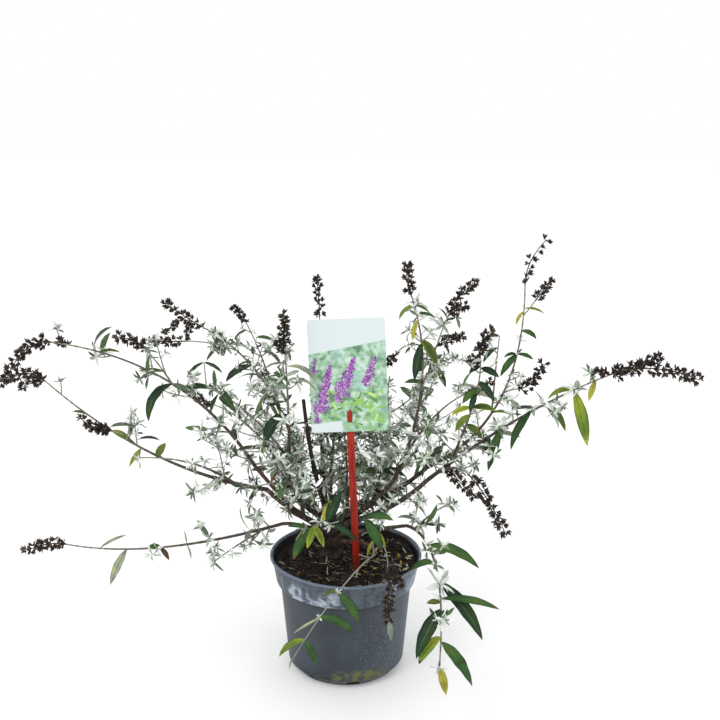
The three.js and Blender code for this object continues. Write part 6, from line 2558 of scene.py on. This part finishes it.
    def add_head(self, head: Limb, full: float = 1.0) -> None:
        """A spent panicle: whorls of small fans of capsules along a thin dry axis.

        The fans are largest at the foot and a third smaller at the tip, and a whorl's fans
        stand a quarter turn on from the last whorl's. Fan k has dropped where the fraction
        of k times the golden ratio isn't below the share that is full.

        Args:
            head: the dry axis.
            full: the share of the fans that haven't dropped.
        """
        rng, arc = self.rng, head.arc
        self.add_tube(Limb(arc, 0.85, 0.45), DRY_TONE)
        count = max(5, round(arc.length / 4.1))
        share = (np.arange(count) + 0.6) / count
        share = np.clip(share + rng.normal(0, 0.16 / count, count), 0, 1)
        wide = 10.4 * (arc.length / 60) ** 0.35 * (1 - 0.34 * share) * rng.uniform(0.75, 1.15, count)
        turn = np.arange(count) * QUARTER + rng.normal(0, 0.3, count)
        whorls = Nodes(arc.at(share), arc.heading(share), turn, wide).sides()
        whorls = whorls.take(rng.uniform(0, 1, len(whorls.size)) < 0.9)
        out = whorls.outward(0.45)
        foot = whorls.at + out * (whorls.size * 0.4)[:, None]
        left = np.arange(len(out)) * GOLDEN % 1 < full
        self.add_twiglets(whorls.at[left], foot[left], np.full(left.sum(), 0.35), DRY_TONE)
        foot, size = np.repeat(foot, self.FAN, axis=0), np.repeat(whorls.size, self.FAN)
        ahead = np.repeat(out + whorls.axis * 0.5, self.FAN, axis=0)
        heading = unit(ahead + rng.normal(0, 0.6, foot.shape))
        middle = foot + heading * (1.6 + size * rng.uniform(0.02, 0.34, len(size)))[:, None]
        self.add_capsules(middle, heading, np.repeat(left, self.FAN))

    def add_capsules(self, middle: Array, heading: Array, left: Array) -> None:
        """Split dry capsules, where they are left: two five-sided rings and two poles.

        Args:
            middle: their middles, as rows.
            heading: the way that each points.
            left: which of them haven't dropped.
        """
        count = len(middle)
        half = self.stand(2.2, 3.7, count)[:, None]
        share = np.array([-0.4, 0.45])
        paths = middle[:, None] + heading[:, None] * (half * share)[..., None]
        radius = self.stand(0.75, 1.15, count)[:, None] * np.array([1.0, 0.8])
        angle = circle(5)
        across = turned_out(heading, self.stand(0, 6, count))
        beside = np.cross(heading, across)
        ring = across[:, None, None] * np.cos(angle)[:, None] + beside[:, None, None] * np.sin(angle)[:, None]
        skin = paths[:, :, None] + ring * radius[..., None, None]
        poles = middle[:, None] + heading[:, None] * (half * np.array([-1.0, 1.1]))[..., None]
        points = np.concatenate([skin.reshape(count, 10, 3), poles], axis=1)
        tone = self.rng.choice(4, count, p=[0.40, 0.33, 0.19, 0.08])
        self.capsules.add(points[left], ring_weave(2, 5), np.repeat(tone[left, None], 2, axis=1))

    # -- the whole crown --

    def dress_stem(self, limb: Limb, habit: Habit) -> None:
        """Shoots, half-grown leaves and stars along one main or side stem.

        Args:
            limb: the stem or shoot.
            habit: how its branch is dressed.
        """
        self.add_tube(limb, None, 1.6)
        nodes = self.nodes_on(limb, 10, 6, self.STEP[habit], 1.0)
        out = from_trunk(nodes.at)
        inner = nodes.take(self.stand(0, 1, len(out)) < 1 - 0.8 * eased(70, 210, out))
        if len(inner.size) == 0:
            return
        self.add_side_shoots(inner, self.SHOOT_ODDS[habit], (1.5, 15))
        self.add_half_grown(inner, self.HALF_GROWN_ODDS[habit])

    def fill_heart(self, limb: Limb) -> None:
        """Finer twigs near the middle of the plant, thinning out with distance.

        Args:
            limb: the bough, stem or shoot.
        """
        nodes = self.nodes_on(limb, 4, 4, 9.0, 1.0)
        out = from_trunk(nodes.at)
        high = nodes.at[:, 2]
        odds = (1 - eased(55, 125, out)) * eased(176, 198, high) * (1 - eased(285, 335, high))
        left = eased(28, 62, -nodes.at[:, 0]) * eased(205, 232, high)
        self.add_side_shoots(nodes, 0.3 * odds * (1 - 0.75 * left), (10, 34))

    def dress_twig(self, twig: Limb) -> None:
        """Leaf pairs and small shoots along a twig.

        Args:
            twig: the twig.
        """
        sag = np.array([0, 0, 0.05 * twig.arc.length])
        curved = Limb(Arc.bent(twig.arc.start, twig.arc.tip, -sag), twig.foot_radius, twig.tip_radius)
        self.add_tube(curved)
        nodes = self.nodes_on(curved, 7, 3, 9.0, 0.85)
        out = from_trunk(nodes.at)
        self.add_side_shoots(nodes, 0.4 * (1 - 0.4 * eased(80, 220, out)), (1, 9))
        self.add_half_grown(nodes, 0.14)

    def set_details(self) -> None:
        """The listed sprigs, leaves and seed heads."""
        for name, row in SPRIGS.items():
            self.sprigs[name] = Limb(self.reach(row, 0.04), 0.9, 0.6)
            self.add_tube(self.sprigs[name])
        for row in SET_LEAVES:
            self.set_leaf(row)
        for row in SET_HEADS:
            self.add_head(Limb(self.reach(row, 0.05), 1, 1))
        for row in SET_STARS:
            axis = aimed(row.bearing, row.lean)[None]
            place = self.host(row).arc.at(row.at)[None]
            self.add_rosettes(Nodes(place, axis, self.stand(0, 3, 1), np.array([row.length])), 5, 0.15, True)

    def dress_mass(self, mass: Mass) -> None:
        """Stems, twigs, stars, old leaves and seed heads of one mass, as the tables ask.

        Args:
            mass: the mass as the rule grew it.
        """
        branch = mass.branch
        part = RULE_TWIGS.get(branch.name, 1)
        for limb, _ in mass.stems:
            if part < 1:
                self.add_tube(Limb(limb.arc, limb.foot_radius * 0.6, limb.tip_radius * 0.6), TWIG_TONE, 1.6)
                continue
            self.dress_stem(limb, branch.habit)
            if branch.habit is not Habit.BARE:
                self.fill_heart(limb)
        for twig in mass.twigs:
            foot, tip = twig.arc.start, twig.arc.start + (twig.arc.tip - twig.arc.start) * part
            self.dress_twig(Limb(Arc.bent(foot, tip, np.zeros(3)), twig.foot_radius, twig.tip_radius))
        for tuft in mass.tufts if part == 1 else []:
            out = np.array(math.hypot(*(tuft.centre[:2] - TRUNK_AT)))
            size = np.array([tuft.lengths.mean() * blend(0.62, 0.58, float(eased(80, 200, out)))])
            self.add_rosettes(Nodes(tuft.centre[None], tuft.axis[None], np.array([tuft.turn]), size), 6)
        kept = RULE_LEAVES.get(branch.name, 1)
        for leaf in mass.old_leaves if kept else []:
            self.add_old(OldLeaf(leaf.root, leaf.heading, leaf.size * kept))
        for number, head in enumerate(mass.heads):
            self.add_head(head, SPARSE_HEADS.get((branch.name, number), 1.0))

    def grow(self) -> None:
        """Dress the boughs near the middle, then every mass, and then what is listed."""
        for name in self.skeleton.limbs:
            if name.startswith("bough_") and name not in ("bough_front_right", "bough_left_low"):
                self.fill_heart(self.skeleton.limbs[name])
        for mass in self.skeleton.masses:
            self.dress_mass(mass)
        self.set_details()

    @staticmethod
    def touches(points: Array) -> Array:
        """Whether a leaf touches the pot, the compost or the label anywhere."""
        return (touches_pot(points, 0.5) | Frames.touches(points, 1.0)).any(axis=1)

    @staticmethod
    def hides_label(points: Array) -> Array:
        """Whether a leaf stands before the label's card or stick.

        Args:
            points: the leaves' points, as (leaves, points, 3).

        Returns:
            True for each that does.
        """
        stick = Frames.STICK.within(points, *Frames.STICK_VIEW, 0.01)
        card = Frames.CARD.within(points, *Frames.CARD_VIEW, 0.01)
        return (stick | card).any(axis=1)

    def hides_stub(self, points: Array) -> Array:
        """Whether a leaf's middle stands before the dead stub, as seen from the front.

        Args:
            points: the leaves' points, as (leaves, points, 3).

        Returns:
            True for each that does.
        """
        middle = points.mean(axis=1)
        stub = self.skeleton.limbs["dead_stub"].arc.at(np.linspace(0.25, 1, 24))
        flat = np.stack([RIGHT, RISE], axis=-1)
        gap = np.linalg.norm((middle @ flat)[:, None] - stub @ flat, axis=-1)
        return (gap.min(axis=1) < self.STUB_CLEAR) & (middle @ NEAR > stub[gap.argmin(axis=1)] @ NEAR)

    def build(self) -> None:
        """Make the crown's pieces."""
        nodes = [f"mass_{branch.name}" for branch in BRANCHES]
        settle(self.stems.build("stems", tones("stem", STEM_TONES, 0.8)), "foliage", *nodes)
        settle(self.capsules.build("seed_capsules", tones("capsule", CAPSULES, 0.75)), "foliage", *nodes)
        self.build_young(nodes)
        self.build_old(nodes)

    def build_young(self, nodes: list[str]) -> None:
        """The young leaves, in as many pieces as the limit on triangles asks for.

        Args:
            nodes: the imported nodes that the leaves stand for.
        """
        blade = Blade(5, (-1, 0, 1), 0.75, 0.85, False)
        leaves = Leaves.join(self.young)
        points = leaves.points(blade)
        free = ~(self.touches(points) | self.hides_label(points) | self.hides_stub(points))
        points, tone = points[free], leaves.tone[free]
        LOG.info("young leaves: %d of %d", free.sum(), len(free))
        per_piece = self.PIECE_LIMIT // (2 * len(blade.weave.quads) + len(blade.weave.tris))
        finishes = tones("silver", SILVER, 0.85, 0.25)
        for part, first in enumerate(range(0, len(points), per_piece)):
            joined = Joined()
            some = slice(first, first + per_piece)
            joined.add(points[some], blade.weave, np.repeat(tone[some, None], len(Zone), axis=1))
            settle(joined.build(f"young_leaves_{part + 1}", finishes), "foliage", *nodes)

    def build_old(self, nodes: list[str]) -> None:
        """The old leaves, with ribs, felted undersides and scorched tips.

        Args:
            nodes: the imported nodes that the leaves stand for.
        """
        blade = Blade(18, (-1, -0.6, -0.06, 0.06, 0.6, 1), 0.8, 0.95, True)
        leaves = Leaves.join([*self.old, *self.set_by_hand])
        points = leaves.points(blade, 0.07, 0.35)
        by_rule = np.arange(len(points)) < len(self.old)
        free = ~(self.touches(points) | (by_rule & self.hides_label(points)))
        points, tone = points[free], leaves.tone[free]
        LOG.info("old leaves: %d of %d", free.sum(), len(free))
        scorched = self.rng.uniform(0, 1, len(tone)) < 0.22
        rib = np.full(len(tone), RIB)
        felt = np.full(len(tone), FELT)
        paler = np.where((tone > 1) & (tone < RIB), np.minimum(tone + 1, RIB - 1), tone)
        edge = np.where(self.rng.uniform(0, 1, len(tone)) < 0.4, paler, tone)
        tip = np.where(scorched & (tone > 0), SCORCH, paler)
        table = np.stack([tone, rib, felt, tip, edge], axis=1)
        joined = Joined()
        joined.add(points, blade.weave, table)
        finishes = [LeafSkin(f"leaf_{i}", tone).material() for i, tone in enumerate([*OLD_TONES, *OLD_EXTRA])]
        settle(joined.build("old_leaves", finishes), "foliage", *nodes)


# ---- Floor, light and camera -----------------------------------------------------------------


@dataclass
class Studio:
    """A plain pale floor, soft light from above and both sides, and the camera."""

    LIGHTS = (
        ("key", (-1.3, -1.6, 2.3), (0, 0, 0.3), 1.2, 20),
        ("fill", (1.9, -1.1, 1.5), (0, 0, 0.25), 1.8, 4),
        ("back", (0.3, 1.9, 2.0), (0, 0, 0.3), 1.5, 6),
    )

    eye: Triple = (0.018, -1.315, 0.781)
    pitch: float = PITCH
    lens: float = 57.5
    sensor: float = 36
    floor_half: float = 6000
    floor_drop: float = 0.5

    def area(self, name: str, place: tuple, aim: tuple, size: float, power: float) -> None:
        """A square soft light.

        Args:
            name: its name.
            place: where it stands, in metres.
            aim: the point that it looks at.
            size: the length of its sides.
            power: its power in watts.
        """
        data = bpy.data.lights.new(name, "AREA")
        data.energy, data.size = power, size
        lamp = link(name, data)
        way = unit(np.array(place, float) - np.array(aim, float))
        lamp.location = place
        flat = math.hypot(way[0], way[1])
        lamp.rotation_euler = (math.atan2(flat, way[2]), 0, math.atan2(way[0], -way[1]))

    def build(self) -> None:
        """Make the floor, the lights, the world and the camera."""
        scene = bpy.context.scene
        floor_paint = Paint("floor", (0.93, 0.93, 0.93), 0.9, Emission_Strength=0.07)
        floor_paint.shader.inputs["Emission Color"].default_value = (1, 1, 1, 1)
        far, low = self.floor_half, -self.floor_drop
        corners = np.array([[-far, -far, low], [far, -far, low], [far, far, low], [-far, far, low]])
        floor = new_piece("floor", corners, [(0, 1, 2, 3)], floor_paint.material)
        world = bpy.data.worlds.new("studio")
        world.use_nodes = True
        sky = world.node_tree.nodes["Background"]
        sky.inputs["Color"].default_value = (1, 1, 1, 1)
        sky.inputs["Strength"].default_value = 1.0
        scene.world = world
        for light in self.LIGHTS:
            self.area(*light)
        data = bpy.data.cameras.new("camera")
        data.lens, data.sensor_width, data.clip_end = self.lens, self.sensor, 30
        camera = link("camera", data)
        camera.location = self.eye
        camera.rotation_euler = (math.radians(90 - self.pitch), 0, 0)
        scene.camera = camera
        scene.view_settings.view_transform = "Standard"


def write_sizes() -> None:
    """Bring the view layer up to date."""
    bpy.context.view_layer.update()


def main() -> None:
    """Build the plant piece by piece."""
    logging.basicConfig(level=logging.INFO, format="%(name)s %(message)s")
    Studio().build()
    pot = Pot()
    pot.build()
    CompostBed().build(pot)
    Label().build()
    skeleton = Skeleton()
    Wood().build(skeleton)
    foliage = Foliage(skeleton)
    foliage.grow()
    foliage.build()
    write_sizes()


if __name__ == "__main__":
    main()
